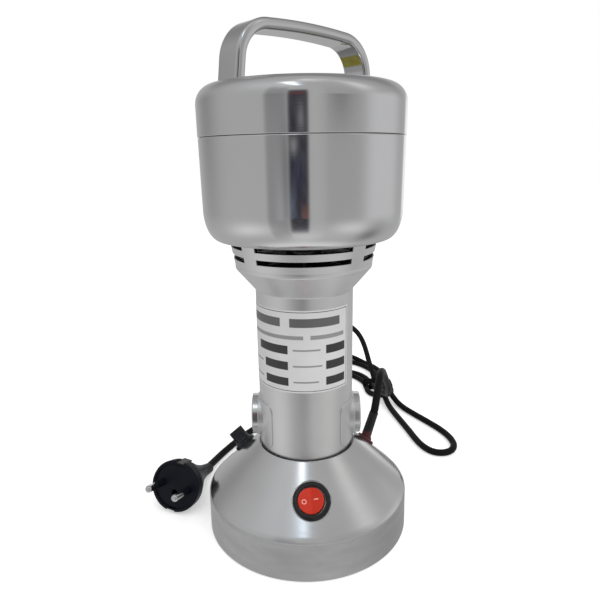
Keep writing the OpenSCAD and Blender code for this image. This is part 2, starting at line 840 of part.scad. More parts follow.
// countersunk screw whose flat top lies at z = 0
module flat_screw(length) {
    difference() {
        union() {
            translate([0, 0, -csk_h]) cylinder(r1 = m3_r, r2 = m3_r + csk_h, h = csk_h);
            translate([0, 0, -length]) cylinder(r = m3_r, h = length - csk_h + eps);
        }
        translate([-1.6, -0.3, -0.7]) cube([3.2, 0.6, 1]);
        translate([-0.3, -1.6, -0.7]) cube([0.6, 3.2, 1]);
    }
}

module bracket_screws() {
    color(steel)
        around(4, 45) translate([lug_ring_r + 3, 0, bowl_z]) flat_screw(bracket_t + casing_t + lug_thread);
}

module cooling_fan() {
    hub = shaft_r + 5;
    vane_r = fan_d / 2 - 1;
    color(dark)
        difference() {
            union() {
                translate([0, 0, fan_z]) cylinder(r = fan_d / 2, h = fan_plate_t);
                translate([0, 0, fan_z + fan_plate_t - eps]) linear_extrude(fan_h) {
                    circle(r = hub);
                    for (i = [0:fan_blades - 1]) rotate(i * 360 / fan_blades)
                        polygon([[hub - 1, -2], [vane_r, -5.8], [vane_r, -4.2], [hub - 1, 0]]);
                }
            }
            translate([0, 0, fan_z - 1]) cylinder(r = shaft_r, h = fan_h + fan_plate_t + 2);
        }
}

// --------------------------------------------------------------- chamber
function casing_outline(inset) = concat(
    [[chamber_r - chamber_round_w, chamber_z + inset]],
    arc([chamber_r - chamber_round_w, chamber_z + chamber_round_h],
        chamber_round_w - inset, chamber_round_h - inset, 270, 360, 14));

module chamber_casing() {
    color(polished)
        difference() {
            rotate_extrude() polygon(concat(
                [[casing_floor_r, chamber_z]],
                casing_outline(0),
                [[chamber_r, seam_z - 0.4], [chamber_r - 0.4, seam_z],
                 [bowl_r + fit_gap, seam_z], [bowl_r + fit_gap, seam_z - casing_t],
                 [chamber_r - casing_t, seam_z - casing_t]],
                [for (i = [len(casing_outline(casing_t)) - 1:-1:0]) casing_outline(casing_t)[i]],
                [[casing_floor_r, chamber_z + casing_t]]));
            around(4, 45) translate([lug_ring_r + 3, 0, chamber_z - 1]) cylinder(r = m3_r + fit_gap, h = 4);
        }
}

module grinding_bowl() {
    floor_c = [bowl_ir - bowl_corner_r, bowl_floor + bowl_corner_r];
    color(steel)
        difference() {
            rotate_extrude() polygon(concat(
                [[seal_r, bowl_z]],
                arc(floor_c, bowl_corner_r + bowl_t, bowl_corner_r + bowl_t, 270, 360, 10),
                [[bowl_r, bowl_top], [bowl_ir, bowl_top]],
                arc(floor_c, bowl_corner_r, bowl_corner_r, 360, 270, 10),
                [[seal_r, bowl_floor]]));
            around(3, 90) translate([bowl_bolt_r, 0, bowl_floor - csk_h])
                cylinder(r1 = m3_r + fit_gap, r2 = m3_r + csk_h + fit_gap, h = csk_h + eps);
            around(3, 90) translate([bowl_bolt_r, 0, bowl_z - 1]) cylinder(r = m3_r + fit_gap, h = 4);
        }
}

module bowl_collar() {
    color(steel)
        tube(bowl_r, collar_r, seam_z, seam_z + collar_h);
}

module bowl_screws() {
    color(steel)
        around(3, 90) translate([bowl_bolt_r, 0, bowl_floor]) flat_screw(bowl_t + bracket_t + 2);
}

module shaft_seal() {
    color(black)
        rotate_extrude() polygon([
            [shaft_r + face_gap, bowl_z], [seal_r, bowl_z], [seal_r, bowl_floor + 0.4],
            [seal_r + 1, bowl_floor + 0.4], [seal_r - 1, bowl_floor + 2.4], [shaft_r + 2, bowl_floor + 2.8],
            [shaft_r + face_gap, bowl_floor + 3.4]]);
}

// ---------------------------------------------------------------- blades
// flat blank of a blade, tapering to its tips, with the shaft's hole
module blade_blank(half) {
    linear_extrude(blade_t)
        difference() {
            polygon([[-half, -2], [-8, -blade_w / 2], [8, -blade_w / 2], [half, -blade_w / 2 + 3],
                     [half, 2], [8, blade_w / 2], [-8, blade_w / 2], [-half, blade_w / 2 - 3]]);
            circle(r = shaft_r);
        }
}

// a tip bent out of the blank, tilted by the given angle
module blade_tip(half, tilt) {
    translate([half, 0, 0]) rotate([0, -tilt, 0]) linear_extrude(blade_t)
        polygon([[0, -blade_w / 2 + 3], [tip_len, -blade_w / 2 + 6], [tip_len - 2, 2], [0, 2]]);
}

module bent_blade(z, tilt, turn) {
    flat = blade_span / 2 - tip_len * cos(tilt);
    color(steel)
        translate([0, 0, z]) rotate([0, 0, turn])
            difference() {
                union() {
                    blade_blank(flat);
                    for (side = [0, 180]) rotate([0, 0, side]) blade_tip(flat - 0.3, tilt);
                }
                translate([0, 0, -1]) cylinder(r = shaft_r, h = blade_t + 2);
            }
}

lower_tilt = -14;
upper_tilt = 32;
lower_turn = 20;
upper_turn = lower_turn + 80;

module lower_blade() { bent_blade(blade_z, lower_tilt, lower_turn); }
module upper_blade() { bent_blade(upper_blade_z, upper_tilt, upper_turn); }

// sleeves below and between the blades
module blade_spacer() {
    color(steel) {
        tube(shaft_r, shaft_r + 3, blade_z - 2.4, blade_z);
        tube(shaft_r, shaft_r + 3, blade_z + blade_t, upper_blade_z);
    }
}

module blade_washer() {
    color(steel) tube(shaft_r, shaft_r + 4.5, upper_blade_z + blade_t, nut_z);
}

module blade_nut() {
    r = nut_af / 2 / cos(30);
    color(steel)
        difference() {
            union() {
                translate([0, 0, nut_z]) cylinder(r = r, h = nut_h, $fn = 6);
                translate([0, 0, nut_z + nut_h - eps]) cylinder(d1 = nut_af - 1, d2 = nut_af - 5, h = 2.4);
            }
            translate([0, 0, nut_z - 1]) cylinder(r = shaft_r, h = shaft_top - nut_z + 1);
        }
}

// ------------------------------------------------------------------- lid
function lid_outline(inset) = arc([chamber_r - lid_round_w, lid_top - lid_round_h],
    lid_round_w - inset, lid_round_h - inset, 0, 90, 14);

// height of the lid's inner face at radius r
function lid_under(r) = let (x = max(0, r - chamber_r + lid_round_w) / (lid_round_w - lid_t))
    lid_top - lid_round_h + (lid_round_h - lid_t) * sqrt(max(0, 1 - x * x));

module lid_shell() {
    color(polished)
        difference() {
            rotate_extrude() polygon(concat(
                [[chamber_r - lid_t, lid_bottom], [chamber_r - 0.4, lid_bottom],
                 [chamber_r, lid_bottom + 0.4]],
                lid_outline(0),
                [[0, lid_top], [0, lid_top - lid_t]],
                [for (i = [14:-1:0]) lid_outline(lid_t)[i]]));
            at_grip_screws() cylinder(r = grip_screw_r + fit_gap, h = 20);
        }
}

module lid_ring() {
    color(steel)
        union() {
            tube(lid_ring_ir, lid_ring_r, lid_bottom + 0.2, ring_flange_z + ring_flange_t);
            tube(bowl_ir + 0.4, lid_ring_ir + eps, ring_flange_z, ring_flange_z + ring_flange_t);
        }
}

module lid_seal() {
    color([0.85, 0.86, 0.84])
        tube(bowl_ir + 0.2, lid_ring_ir - 0.4, seal_z, seal_z + seal_t);
}

// the middle line of the handle, in its own upright plane, right foot first
grip_lean_deg = atan2(grip_lean, grip_top - grip_r - grip_foot_z);
grip_c = [grip_half - grip_lean - grip_r * cos(grip_lean_deg), grip_top - grip_r];
grip_side = concat(
    [[grip_half, grip_foot_z]],
    arc(grip_c, grip_r, grip_r, grip_lean_deg, 90, 10),
    [for (i = [1:5]) let (s = grip_c[0] * (1 - i / 5))
        [s, grip_top + grip_crown * (1 - pow(s / grip_c[0], 2))]]);
grip_line = concat(grip_side, [for (i = [len(grip_side) - 2:-1:0]) [-grip_side[i][0], grip_side[i][1]]]);

// cross-section of the handle: a rectangle with round long edges
grip_section = [for (q = [0:3])
    let (sx = q == 0 || q == 3 ? 1 : -1, sy = q < 2 ? 1 : -1)
    for (p = arc([sx * (grip_w / 2 - grip_edge_r), sy * (grip_t / 2 - grip_edge_r)],
                 grip_edge_r, grip_edge_r, q * 90, q * 90 + 90, 4)) p];

function unit(v) = v / norm(v);

module lid_handle() {
    n = len(grip_section);
    last = len(grip_line) - 1;
    // tangents point along the line; normals point out of the arch
    tangents = [for (i = [0:last]) unit(grip_line[min(i + 1, last)] - grip_line[max(i - 1, 0)])];
    points = [for (i = [0:last]) for (p = grip_section)
        let (c = grip_line[i], t = tangents[i]) [c[0] + p[1] * t[1], p[0], c[1] - p[1] * t[0]]];
    sides = [for (i = [0:last - 1]) for (j = [0:n - 1])
        let (a = i * n + j, b = i * n + (j + 1) % n) each [[a, a + n, b + n], [a, b + n, b]]];
    ends = [for (j = [1:n - 2]) each [[0, j, j + 1], [last * n, last * n + j + 1, last * n + j]]];
    color(polished)
        difference() {
            rotate([0, 0, grip_turn]) polyhedron(points, concat(sides, ends));
            // the feet are cut to the lid's own surface
            rotate_extrude()
                polygon(concat([[chamber_r, lid_bottom]], lid_outline(0), [[0, lid_top], [0, lid_bottom]]));
            at_grip_screws() cylinder(r = grip_screw_r, h = grip_thread + 2);
        }
}

grip_thread = 9;

// the two screws enter the handle's feet from inside the lid
module at_grip_screws() {
    for (side = [0, 180]) rotate([0, 0, grip_turn + side])
        translate([grip_half - 0.4, 0, lid_under(grip_half + pan_head * grip_screw_r) - lid_t / 2])
            children();
}

module handle_screws() {
    color(steel) at_grip_screws() pan_screw(grip_screw_r, grip_thread);
}

// ------------------------------------------------------------------ cord
// middle line of the cord, from the outlet to the plug, in order
lead_points = [
    [45, 24, 56.5], [46.5, 26, 62], [48.5, 31.5, 69], [51, 40.5, 74], [53.5, 52, 76],
    [56.5, 64, 73], [59.5, 76, 66], [63, 88, 56.5], [66.5, 100, 47], [69.5, 112, 37],
    [71.5, 124, 28.5], [73, 136, 21.5], [73, 149, 16], [71, 162, 12], [68.5, 175, 9],
    [67.5, 187, 6.6], [66.5, 199, 3.8], [65, 209, 2.6]];
loop_points = [
    [78.6, 203, 3], [79, 190, 6], [79.5, 177, 8.2], [82, 165, 6.4], [86.5, 152.5, 3.6],
    [93.5, 139, 2.6], [101, 126, 2.6], [108.5, 113, 2.6], [115, 99.5, 2.6], [118, 87.5, 2.6],
    [117, 76, 2.6], [110, 68, 2.6], [100.5, 68, 2.6], [93.5, 76, 2.6], [89.5, 88, 2.6],
    [86.5, 103, 2.6], [83, 119.5, 2.6], [79.5, 136, 2.6], [76.8, 151, 3], [75, 164, 5.6],
    [74, 177, 8.2], [73.2, 189, 6], [72.2, 200, 3.2], [71.2, 209, 3]];
tail_points = [
    [71.2, 209, 3], [70, 217.5, 7.5], [68, 226, 14], [66, 233.5, 21.5], [63.5, 240.5, 30],
    [59, 247.5, 39], [51.5, 254, 46], [41, 258.5, 50], [29, 259.5, 49], [18, 256, 43],
    [9.5, 249, 34], [4, 239.5, 24], [1, 228, 14.5], [-1, 216, 7], [-3, 203, 3],
    [-5, 189, 2.6], [-8, 174, 2.6], [-12.5, 159.5, 2.6], [-19.5, 145.5, 2.6], [-28.5, 132, 2.6],
    [-38, 119, 2.6], [-47.5, 106, 2.6], [-55, 93.5, 2.6], [-61.5, 81, 2.6], [-67, 69, 2.7],
    [-71, 58, 3.3], [-74, 47.5, 4.6]];

// a round tube swept along a line of points
module swept_cord(p, r, sides = 8) {
    last = len(p) - 1;
    tangents = [for (i = [0:last]) unit(p[min(i + 1, last)] - p[max(i - 1, 0)])];
    // the level direction across the line, or +X where the line stands upright
    across = [for (t = tangents) let (h = cross(t, [0, 0, 1])) norm(h) > 0.05 ? unit(h) : [1, 0, 0]];
    points = [for (i = [0:last]) for (j = [0:sides - 1])
        let (a = (j + 0.5) * 360 / sides, u = across[i], v = cross(u, tangents[i]))
            p[i] + r * (cos(a) * u + sin(a) * v)];
    faces = concat(
        [for (i = [0:last - 1]) for (j = [0:sides - 1])
            let (a = i * sides + j, b = i * sides + (j + 1) % sides)
                each [[a, b + sides, a + sides], [a, b, b + sides]]],
        [for (j = [1:sides - 2])
            each [[0, j + 1, j], [last * sides, last * sides + j, last * sides + j + 1]]]);
    polyhedron(points, faces);
}

module cord_lead() { color(black) swept_cord(lead_points, cord_d / 2); }
module cord_loop() { color(black) swept_cord(loop_points, cord_d / 2); }
module cord_tail() { color(black) swept_cord(tail_points, cord_d / 2); }

// the hank: an oval coil, bent at its middle and drawn together by a tie at its front end.
// Each disc is its centre and radius; neighbours are joined by their common tangents.
hank_discs = [[[72.3, 188], 14], [[65, 236], 19.5], [[48, 248], 26], [[10, 253], 23.3]];
tie_y = 197;
tie_w = 3;
tie_t = 0.8;
tie_half = 16;
tie_x = 72.3;
hank_high = 8.6;

module cord_hank() {
    color(black)
        difference() {
            linear_extrude(hank_high)
                for (i = [0:len(hank_discs) - 2])
                    hull() for (disc = [hank_discs[i], hank_discs[i + 1]])
                        translate(disc[0]) circle(r = disc[1]);
            tie_band(tie_half + 5, tie_t, 0);
        }
}

// a flat piece of the tie, as wide as the tie, across the hank
module tie_band(half, thick, z) {
    translate([tie_x - half, tie_y, z - eps]) cube([2 * half, tie_w, thick + eps]);
}

module cord_tie() {
    color(dark)
        difference() {
            tie_band(tie_half + tie_t, hank_high + tie_t, eps);
            translate([tie_x - tie_half, tie_y - 1, tie_t]) cube([2 * tie_half, tie_w + 2, hank_high - tie_t]);
        }
}

// ------------------------------------------------------------------ plug
plug_face = [-87.5, 4, 19];
plug_turn = 253;
plug_pitch = 17.5;
plug_roll = -24;
tail_r = 3.9;
clip_w = 6;
clip_len = 12;

// the plug's own frame: +Z runs out along the pins
module on_plug() {
    translate(plug_face) rotate([0, 90 - plug_pitch, plug_turn]) rotate([0, 0, plug_roll]) children();
}

module plug_body() {
    r = plug_d / 2;
    color(black)
        on_plug()
            difference() {
                rotate_extrude() polygon([
                    [0, -1.2], [r - 2.2, -1.2], [r - 2.2, 0], [r - 0.8, 0], [r, -0.8],
                    [r - 0.4, -plug_drum + 2], [r - 1.6, -plug_drum], [r - 2.8, -plug_drum - 3.5],
                    [r * 0.6, -plug_drum - 13], [r * 0.42, -plug_drum - 21],
                    [tail_r + 1.6, -plug_drum - 28], [tail_r, -plug_len], [0, -plug_len]]);
                // side slots of the earth clips and the earth socket
                for (s = [-1, 1]) translate([s * (r - 0.9), 0, -clip_len / 2])
                    cube([4, clip_w + 4 * fit_gap, clip_len + 2], center = true);
                translate([5, 0, -16]) cylinder(r = 2.4, h = 20);
                for (s = [-1, 1]) translate([0, s * pin_pitch / 2, -10]) cylinder(d = pin_d, h = 12);
            }
}

module plug_pins() {
    color(polished)
        on_plug() for (s = [-1, 1]) translate([0, s * pin_pitch / 2, -10]) {
            cylinder(d = pin_d, h = 8.8 + pin_len - 1.6);
            translate([0, 0, 8.8 + pin_len - 1.6]) cylinder(d1 = pin_d, d2 = pin_d - 2.4, h = 1.6);
        }
}

module plug_earth_clips() {
    r = plug_d / 2;
    color(brass)
        on_plug() for (s = [-1, 1])
            translate([s * (r - 1.8), 0, -clip_len / 2]) cube([1, clip_w, clip_len], center = true);
}

base_shell();
base_plate();
rubber_feet();
base_screws();
switch_bezel();
switch_rocker();
fuse_holder();
fuse_cartridge();
fuse_cap();
cord_outlet();
motor_housing();
housing_screws();
brush_cap_left();
brush_cap_right();
brush_holder_left();
brush_holder_right();
carbon_brush_left();
carbon_brush_right();
brush_spring_left();
brush_spring_right();
stator_core();
stator_windings();
armature_core();
armature_windings();
commutator();
motor_shaft();
lower_bearing();
upper_bearing();
lower_bracket();
upper_bracket();
bracket_screws();
cooling_fan();
chamber_casing();
grinding_bowl();
bowl_collar();
bowl_screws();
shaft_seal();
lower_blade();
upper_blade();
blade_spacer();
blade_washer();
blade_nut();
lid_shell();
lid_ring();
lid_seal();
lid_handle();
handle_screws();
cord_lead();
cord_loop();
cord_hank();
cord_tie();
cord_tail();
plug_body();
plug_pins();
plug_earth_clips();
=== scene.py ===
import math
import bpy
import numpy as np
from mathutils import Matrix


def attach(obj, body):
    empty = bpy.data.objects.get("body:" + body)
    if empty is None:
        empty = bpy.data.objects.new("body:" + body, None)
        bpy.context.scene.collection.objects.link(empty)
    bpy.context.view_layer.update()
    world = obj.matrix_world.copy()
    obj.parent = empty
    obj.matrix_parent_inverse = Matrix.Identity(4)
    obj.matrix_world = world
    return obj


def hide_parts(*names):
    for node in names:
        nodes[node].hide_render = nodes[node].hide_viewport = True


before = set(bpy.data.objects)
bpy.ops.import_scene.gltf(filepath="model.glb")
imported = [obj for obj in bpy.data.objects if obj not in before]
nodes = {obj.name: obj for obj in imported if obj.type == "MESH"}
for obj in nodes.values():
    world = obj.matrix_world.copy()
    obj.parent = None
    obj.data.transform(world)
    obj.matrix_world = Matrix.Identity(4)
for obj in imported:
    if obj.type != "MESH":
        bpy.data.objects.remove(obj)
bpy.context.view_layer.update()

# ---------- camera
# The mill stands on a table in front of the camera, which looks slightly
# down on it from about a third of a metre away.
MM = 0.001
camera = bpy.data.objects.new("camera", bpy.data.cameras.new("camera"))
camera.data.lens = 32.55
camera.data.shift_x = -0.0079
camera.data.shift_y = 0.0292
camera.matrix_world = (Matrix.Translation((0, -307.9 * MM, 226.4 * MM))
                       @ Matrix.Rotation(math.pi / 2 - 0.29045, 4, "X")
                       @ Matrix.Rotation(-0.0152, 4, "Z"))
scene = bpy.context.scene
scene.collection.objects.link(camera)
scene.camera = camera
scene.view_settings.view_transform = "Standard"


# ---------- mains cord
# A 1.4 m lead of round black PVC, 5.2 mm thick. It springs out of its sleeve,
# lies in a long coil that a strap holds behind the neck, throws one loop
# forward on the right and runs left round the back to its plug.
CORD_D = 5.2
# Points in mm along its middle; one without a height lies on the table.
CORD_LEAD = [
    [45, 24, 56.5], [46.5, 26, 62], [48.5, 31.5, 69], [51, 40.5, 74], [53.5, 52, 76],
    [56.5, 64, 73], [59.5, 76, 66], [63, 88, 56.5], [66.5, 100, 47], [69.5, 112, 37],
    [71.5, 124, 28.5], [73, 136, 21.5], [73, 149, 16], [71, 162, 12], [68.5, 175, 9],
    [67.5, 187, 6.6], [66.5, 199, 3.8], [65, 209]]
CORD_COIL = [
    [60.5, 221], [52.5, 230.5], [41, 236.5], [27, 238], [10, 238], [-0.6, 242.4], [-5, 253],
    [-0.6, 263.6], [10, 268], [21, 268, 4.8], [32, 269.4, 7.8], [44, 270.4, 8], [55, 267.5, 6],
    [65, 260.5, 3], [73.5, 249.5], [79.5, 235.5], [83, 219.5], [84.4, 203.5], [84.4, 192],
    [84.3, 186], [82.7, 180.2], [78.5, 175.95], [72.7, 174.4], [66.9, 175.95], [62.7, 180.2],
    [61.1, 186], [61, 192], [60, 204], [55.5, 215.5], [48, 225.5], [38, 231], [26, 232.4],
    [10, 232.4], [-4.6, 238.4], [-10.6, 253], [-4.6, 267.6], [10, 273.6], [24, 273.2], [38, 270.5],
    [50, 264.5], [60.5, 255.5], [68.3, 244], [74, 231], [77.3, 217]]
CORD_LOOP = [
    [78.6, 203, 3], [79, 190, 6], [79.5, 177, 8.2], [82, 165, 6.4], [86.5, 152.5, 3.6], [93.5, 139],
    [101, 126], [108.5, 113], [115, 99.5], [118, 87.5], [117, 76], [110, 68], [100.5, 68],
    [93.5, 76], [89.5, 88], [86.5, 103], [83, 119.5], [79.5, 136], [76.8, 151, 3], [75, 164, 5.6],
    [74, 177, 8.2], [73.2, 189, 6], [72.2, 200, 3.2]]
CORD_TAIL = [
    [71.2, 209, 3], [70, 217.5, 7.5], [68, 226, 14], [66, 233.5, 21.5], [63.5, 240.5, 30],
    [59, 247.5, 39], [51.5, 254, 46], [41, 258.5, 50], [29, 259.5, 49], [18, 256, 43],
    [9.5, 249, 34], [4, 239.5, 24], [1, 228, 14.5], [-1, 216, 7], [-3, 203, 3], [-5, 189],
    [-8, 174], [-12.5, 159.5], [-19.5, 145.5], [-28.5, 132], [-38, 119], [-47.5, 106], [-55, 93.5],
    [-61.5, 81], [-67, 69, 2.7], [-71, 58, 3.3], [-74, 47.5, 4.6]]


def smooth_line(points, step):
    """A curve through the points whose slope and bend run on without a break: a natural cubic
    spline over the distance along them, read off about every step millimetres."""
    p = np.array(points, float)
    s = np.concatenate([[0], np.cumsum(np.linalg.norm(np.diff(p, axis=0), axis=1))])
    h = np.diff(s)[:, None]
    n = len(p)
    rows = np.eye(n)
    inner = np.arange(1, n - 1)
    rows[inner, inner - 1], rows[inner, inner] = h[:-1, 0], 2 * (h[:-1, 0] + h[1:, 0])
    rows[inner, inner + 1] = h[1:, 0]
    slopes = np.diff(p, axis=0) / h
    bends = np.linalg.solve(rows, np.pad(6 * np.diff(slopes, axis=0), ((1, 1), (0, 0))))
    t = np.linspace(0, s[-1], int(s[-1] / step) + 1)
    k = np.clip(np.searchsorted(s, t, side="right") - 1, 0, n - 2)
    a, w = (t - s[k])[:, None], h[k]
    b = w - a
    return ((bends[k] * b ** 3 + bends[k + 1] * a ** 3) / (6 * w)
            + (p[k] / w - bends[k] * w / 6) * b + (p[k + 1] / w - bends[k + 1] * w / 6) * a)


def unit(v):
    """Each vector divided by its own length."""
    return v / np.maximum(np.linalg.norm(v, axis=-1, keepdims=True), 1e-12)


def patch_normals(p):
    """Each grid point's normal is the mean of the normals of the cells that meet there; the two
    edges of a closed grid share theirs, and so do all the points of an edge that is one pole."""
    cell = np.cross(p[1:, 1:] - p[:-1, :-1], p[1:, :-1] - p[:-1, 1:])
    total = sum(np.pad(cell, ((i, 1 - i), (j, 1 - j), (0, 0))) for i in (0, 1) for j in (0, 1))
    if np.allclose(p[:, 0], p[:, -1], atol=1e-6):
        total[:, 0] = total[:, -1] = total[:, 0] + total[:, -1]
    if np.allclose(p[0], p[-1], atol=1e-6):
        total[0] = total[-1] = total[0] + total[-1]
    for row in (0, -1):
        if np.ptp(p[row], axis=0).max() < 1e-6:
            total[row] = total[row].sum(axis=0)
    return unit(total)


def skin(name, patches, holes=()):
    """One piece from grids of points in millimetres: their edges are welded where they meet, each
    grid is smooth in itself, and the joins between grids stay crisp. A patch is a grid, or a grid
    and the normals to use on it; holes gives cells to leave out, by the patch's number."""
    points, normals, quads, first = [], [], [], 0
    for number, grid in enumerate(patches):
        p, n = grid if isinstance(grid, tuple) else (grid, patch_normals(grid))
        index = first + np.arange(p.shape[0] * p.shape[1]).reshape(p.shape[:2])
        cells = np.stack([index[:-1, :-1], index[:-1, 1:], index[1:, 1:], index[1:, :-1]], axis=-1)
        keep = np.ones(cells.shape[:2], bool)
        for which, row, columns in holes:
            if which == number:
                keep[row, columns] = False
        quads.append(cells[keep])
        points.append(p.reshape(-1, 3))
        normals.append(n.reshape(-1, 3))
        first += index.size
    points, normals, quads = np.vstack(points), np.vstack(normals), np.vstack(quads)
    _, chosen, joined = np.unique(np.round(points / 0.0005).astype(np.int64), axis=0,
                                  return_index=True, return_inverse=True)
    joined = joined.reshape(-1)
    corners = joined[quads]
    kept = corners != np.roll(corners, -1, axis=1)
    real = kept.sum(axis=1) > 2
    kept, quads = kept[real], quads[real]
    used, corners = np.unique(corners[real][kept], return_inverse=True)
    sides = kept.sum(axis=1)
    mesh = bpy.data.meshes.new(name)
    for part, values, field in (
            (mesh.vertices, (points[chosen][used] * MM).astype(np.float32), "co"),
            (mesh.loops, corners.astype(np.int32), "vertex_index"),
            (mesh.polygons, (np.cumsum(sides) - sides).astype(np.int32), "loop_start")):
        part.add(len(values))
        part.foreach_set(field, values.ravel())
    mesh.update(calc_edges=True)
    mesh.shade_smooth()
    mesh.normals_split_custom_set(normals[quads][kept].tolist())
    piece = bpy.data.objects.new(name, mesh)
    scene.collection.objects.link(piece)
    return piece


def tube_along(line, radius, sides):
    """A round tube: at each point of the line, a circle of the given radius in the plane across
    the line's own direction, measured from the level line that crosses it."""
    along = unit(np.gradient(line, axis=0))
    level = unit(np.cross(along, [0, 0, 1]))
    turn = np.linspace(0, 2 * math.pi, sides + 1)[:, None]
    ring = np.cos(turn) * level[:, None] + np.sin(turn) * np.cross(along, level)[:, None]
    return line[:, None] + radius * ring


def capped(grid):
    """The grid with both its open ends drawn together to a point."""
    ends = [0 * ring[None] + ring.mean(axis=0) for ring in (grid[0], grid[-1])]
    return np.concatenate([ends[0], grid, ends[1]])


def sign(operation, back=False):
    """An operator for wires that adds one Math node; back is for a number on the left."""
    return lambda wire, other: wire.math(operation, *((other, wire) if back else (wire, other)))


class Wire:
    """One output of a material's nodes. Sums on it, with numbers or other wires on either side,
    add Math nodes."""

    def __init__(self, socket):
        self.socket = socket

    def math(self, operation, *values):
        node = self.socket.id_data.nodes.new("ShaderNodeMath")
        node.operation = operation
        for slot, value in zip(node.inputs, values):
            join(slot, value)
        return Wire(node.outputs[0])

    __add__ = __radd__ = sign("ADD")
    __sub__, __rsub__ = sign("SUBTRACT"), sign("SUBTRACT", back=True)
    __mul__ = __rmul__ = sign("MULTIPLY")
    __truediv__ = sign("DIVIDE")
    __pow__ = sign("POWER")

    def __abs__(self):
        return self.math("ABSOLUTE", self)


def join(slot, value):
    """Links a wire to a socket, or sets the socket to a number, vector or colour."""
    if isinstance(value, Wire):
        slot.id_data.links.new(value.socket, slot)
    else:
        slot.default_value = value


class Bench:
    """A node tree that is being wired up."""

    def __init__(self, tree):
        self.tree = tree
        tree.nodes.clear()

    def node(self, kind, settings={}, sockets={}, output=0):
        """Adds one node: first its settings, then the values or links of its sockets."""
        node = self.tree.nodes.new("ShaderNode" + kind)
        for name, value in settings.items():
            setattr(node, name, value)
        for name, value in sockets.items():
            join(node.inputs[name], value)
        return Wire(node.outputs[output]) if node.outputs else None

    def place(self):
        """The three Object coordinates, in metres from the middle of the mill's foot."""
        spot = self.node("TexCoord", output=3)
        return [self.node("SeparateXYZ", sockets={0: spot}, output=k) for k in range(3)]

    def vector(self, x, y, z):
        return self.node("CombineXYZ", sockets={0: x, 1: y, 2: z})

    def noise(self, spot, scale, detail=2.0, roughness=0.5):
        return self.node("TexNoise", sockets={"Vector": spot, "Scale": scale, "Detail": detail,
                                              "Roughness": roughness})

    def blend(self, amount, first, second):
        """A colour between two colours."""
        return self.node("Mix", {"data_type": "RGBA"}, {0: amount, 6: first, 7: second}, 2)

    def step(self, value, low, high):
        """0 below low, 1 above high, and an even curve between."""
        return self.node("MapRange", {"interpolation_type": "SMOOTHSTEP"},
                         {0: value, 1: low, 2: high, 3: 0.0, 4: 1.0})


def colour(value):
    """A colour from three numbers, or a grey from one."""
    return (*(np.ones(3) * value).tolist(), 1.0)


def finish(name, relief=None, relief_mm=0.02, **sockets):
    """A material with one Principled shader. Its sockets are given by name, with _ for a space,
    as numbers, or as functions of the bench; relief is a height from 0 to 1, relief_mm deep."""
    material = bpy.data.materials.new(name)
    material.use_nodes = True
    bench = Bench(material.node_tree)
    values = {key.replace("_", " "): value(bench) if callable(value) else value
              for key, value in sockets.items()}
    if relief:
        values["Normal"] = bench.node("Bump", sockets={
            "Strength": 1.0, "Distance": relief_mm * MM, "Height": relief(bench)})
    shader = bench.node("BsdfPrincipled", sockets=values)
    bench.node("OutputMaterial", sockets={0: shader})
    return material


def dress(piece, material):
    """Gives a piece its one material."""
    piece.data.materials.clear()
    piece.data.materials.append(material)


def fit(piece, material, *stands_for, body="housing", slot=None):
    """Puts a new piece on its CAD body, in place of the CAD nodes that it stands for, and gives it
    the material. The slot argument is not used."""
    dress(piece, material)
    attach(piece, body)
    if stands_for:
        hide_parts(*stands_for)


def speckle(scale, low, high, stretch=(1, 1, 1), detail=3.0):
    """A value that drifts between low and high over the surface; stretch squeezes the pattern
    along X, Y and Z."""
    def values(bench):
        x, y, z = bench.place()
        spot = bench.vector(x * stretch[0], y * stretch[1], z * stretch[2])
        return bench.noise(spot, scale, detail) * (high - low) + low
    return values


def tinted(scale, first, second, stretch=(1, 1, 1)):
    """A colour that drifts between two colours over the surface."""
    return lambda bench: bench.blend(speckle(scale, -0.4, 1.4, stretch)(bench),
                                     colour(first), colour(second))


def plain(name, tints, rough, bumps, metal=0.0, **sockets):
    """A finish that is the same all over: tints and rough are a pattern's scale and the two ends
    of its range; bumps are a scale, a depth in mm, and how the pattern is squeezed."""
    return finish(name, Base_Color=tinted(*tints), Roughness=speckle(*rough), Metallic=metal,
                  relief=speckle(bumps[0], 0, 1, *bumps[2:]), relief_mm=bumps[1], **sockets)


cord_pvc = plain("cord_pvc", (60, 0.006, (0.012, 0.012, 0.013)), (90, 0.34, 0.50), (900, 0.03),
                 Specular_IOR_Level=0.08)
cord_line = smooth_line([(*point, CORD_D / 2)[:3] for point in
                         CORD_LEAD + CORD_COIL + CORD_LOOP + CORD_TAIL], 2.0)
cord_line[:, 2] = np.maximum(cord_line[:, 2], CORD_D / 2)
cord = skin("mains_cord", [capped(tube_along(cord_line, CORD_D / 2, 20))])
fit(cord, cord_pvc, "cord_lead", "cord_loop", "cord_hank", "cord_tail")
cord_line[0] * MM
(cord_line * MM).tolist()


# ---------- table, light
# The mill stands on a wide white sheet under one broad soft lamp and an even
# pale light. Its polished metal shows the room as well: grey walls, a dark
# doorway, a strip light on the ceiling, a window, and the white sheet behind.
ROOM_LEVEL = 0.47
DEEP_SHADE = -0.35  # a shade deeper than this has things in it
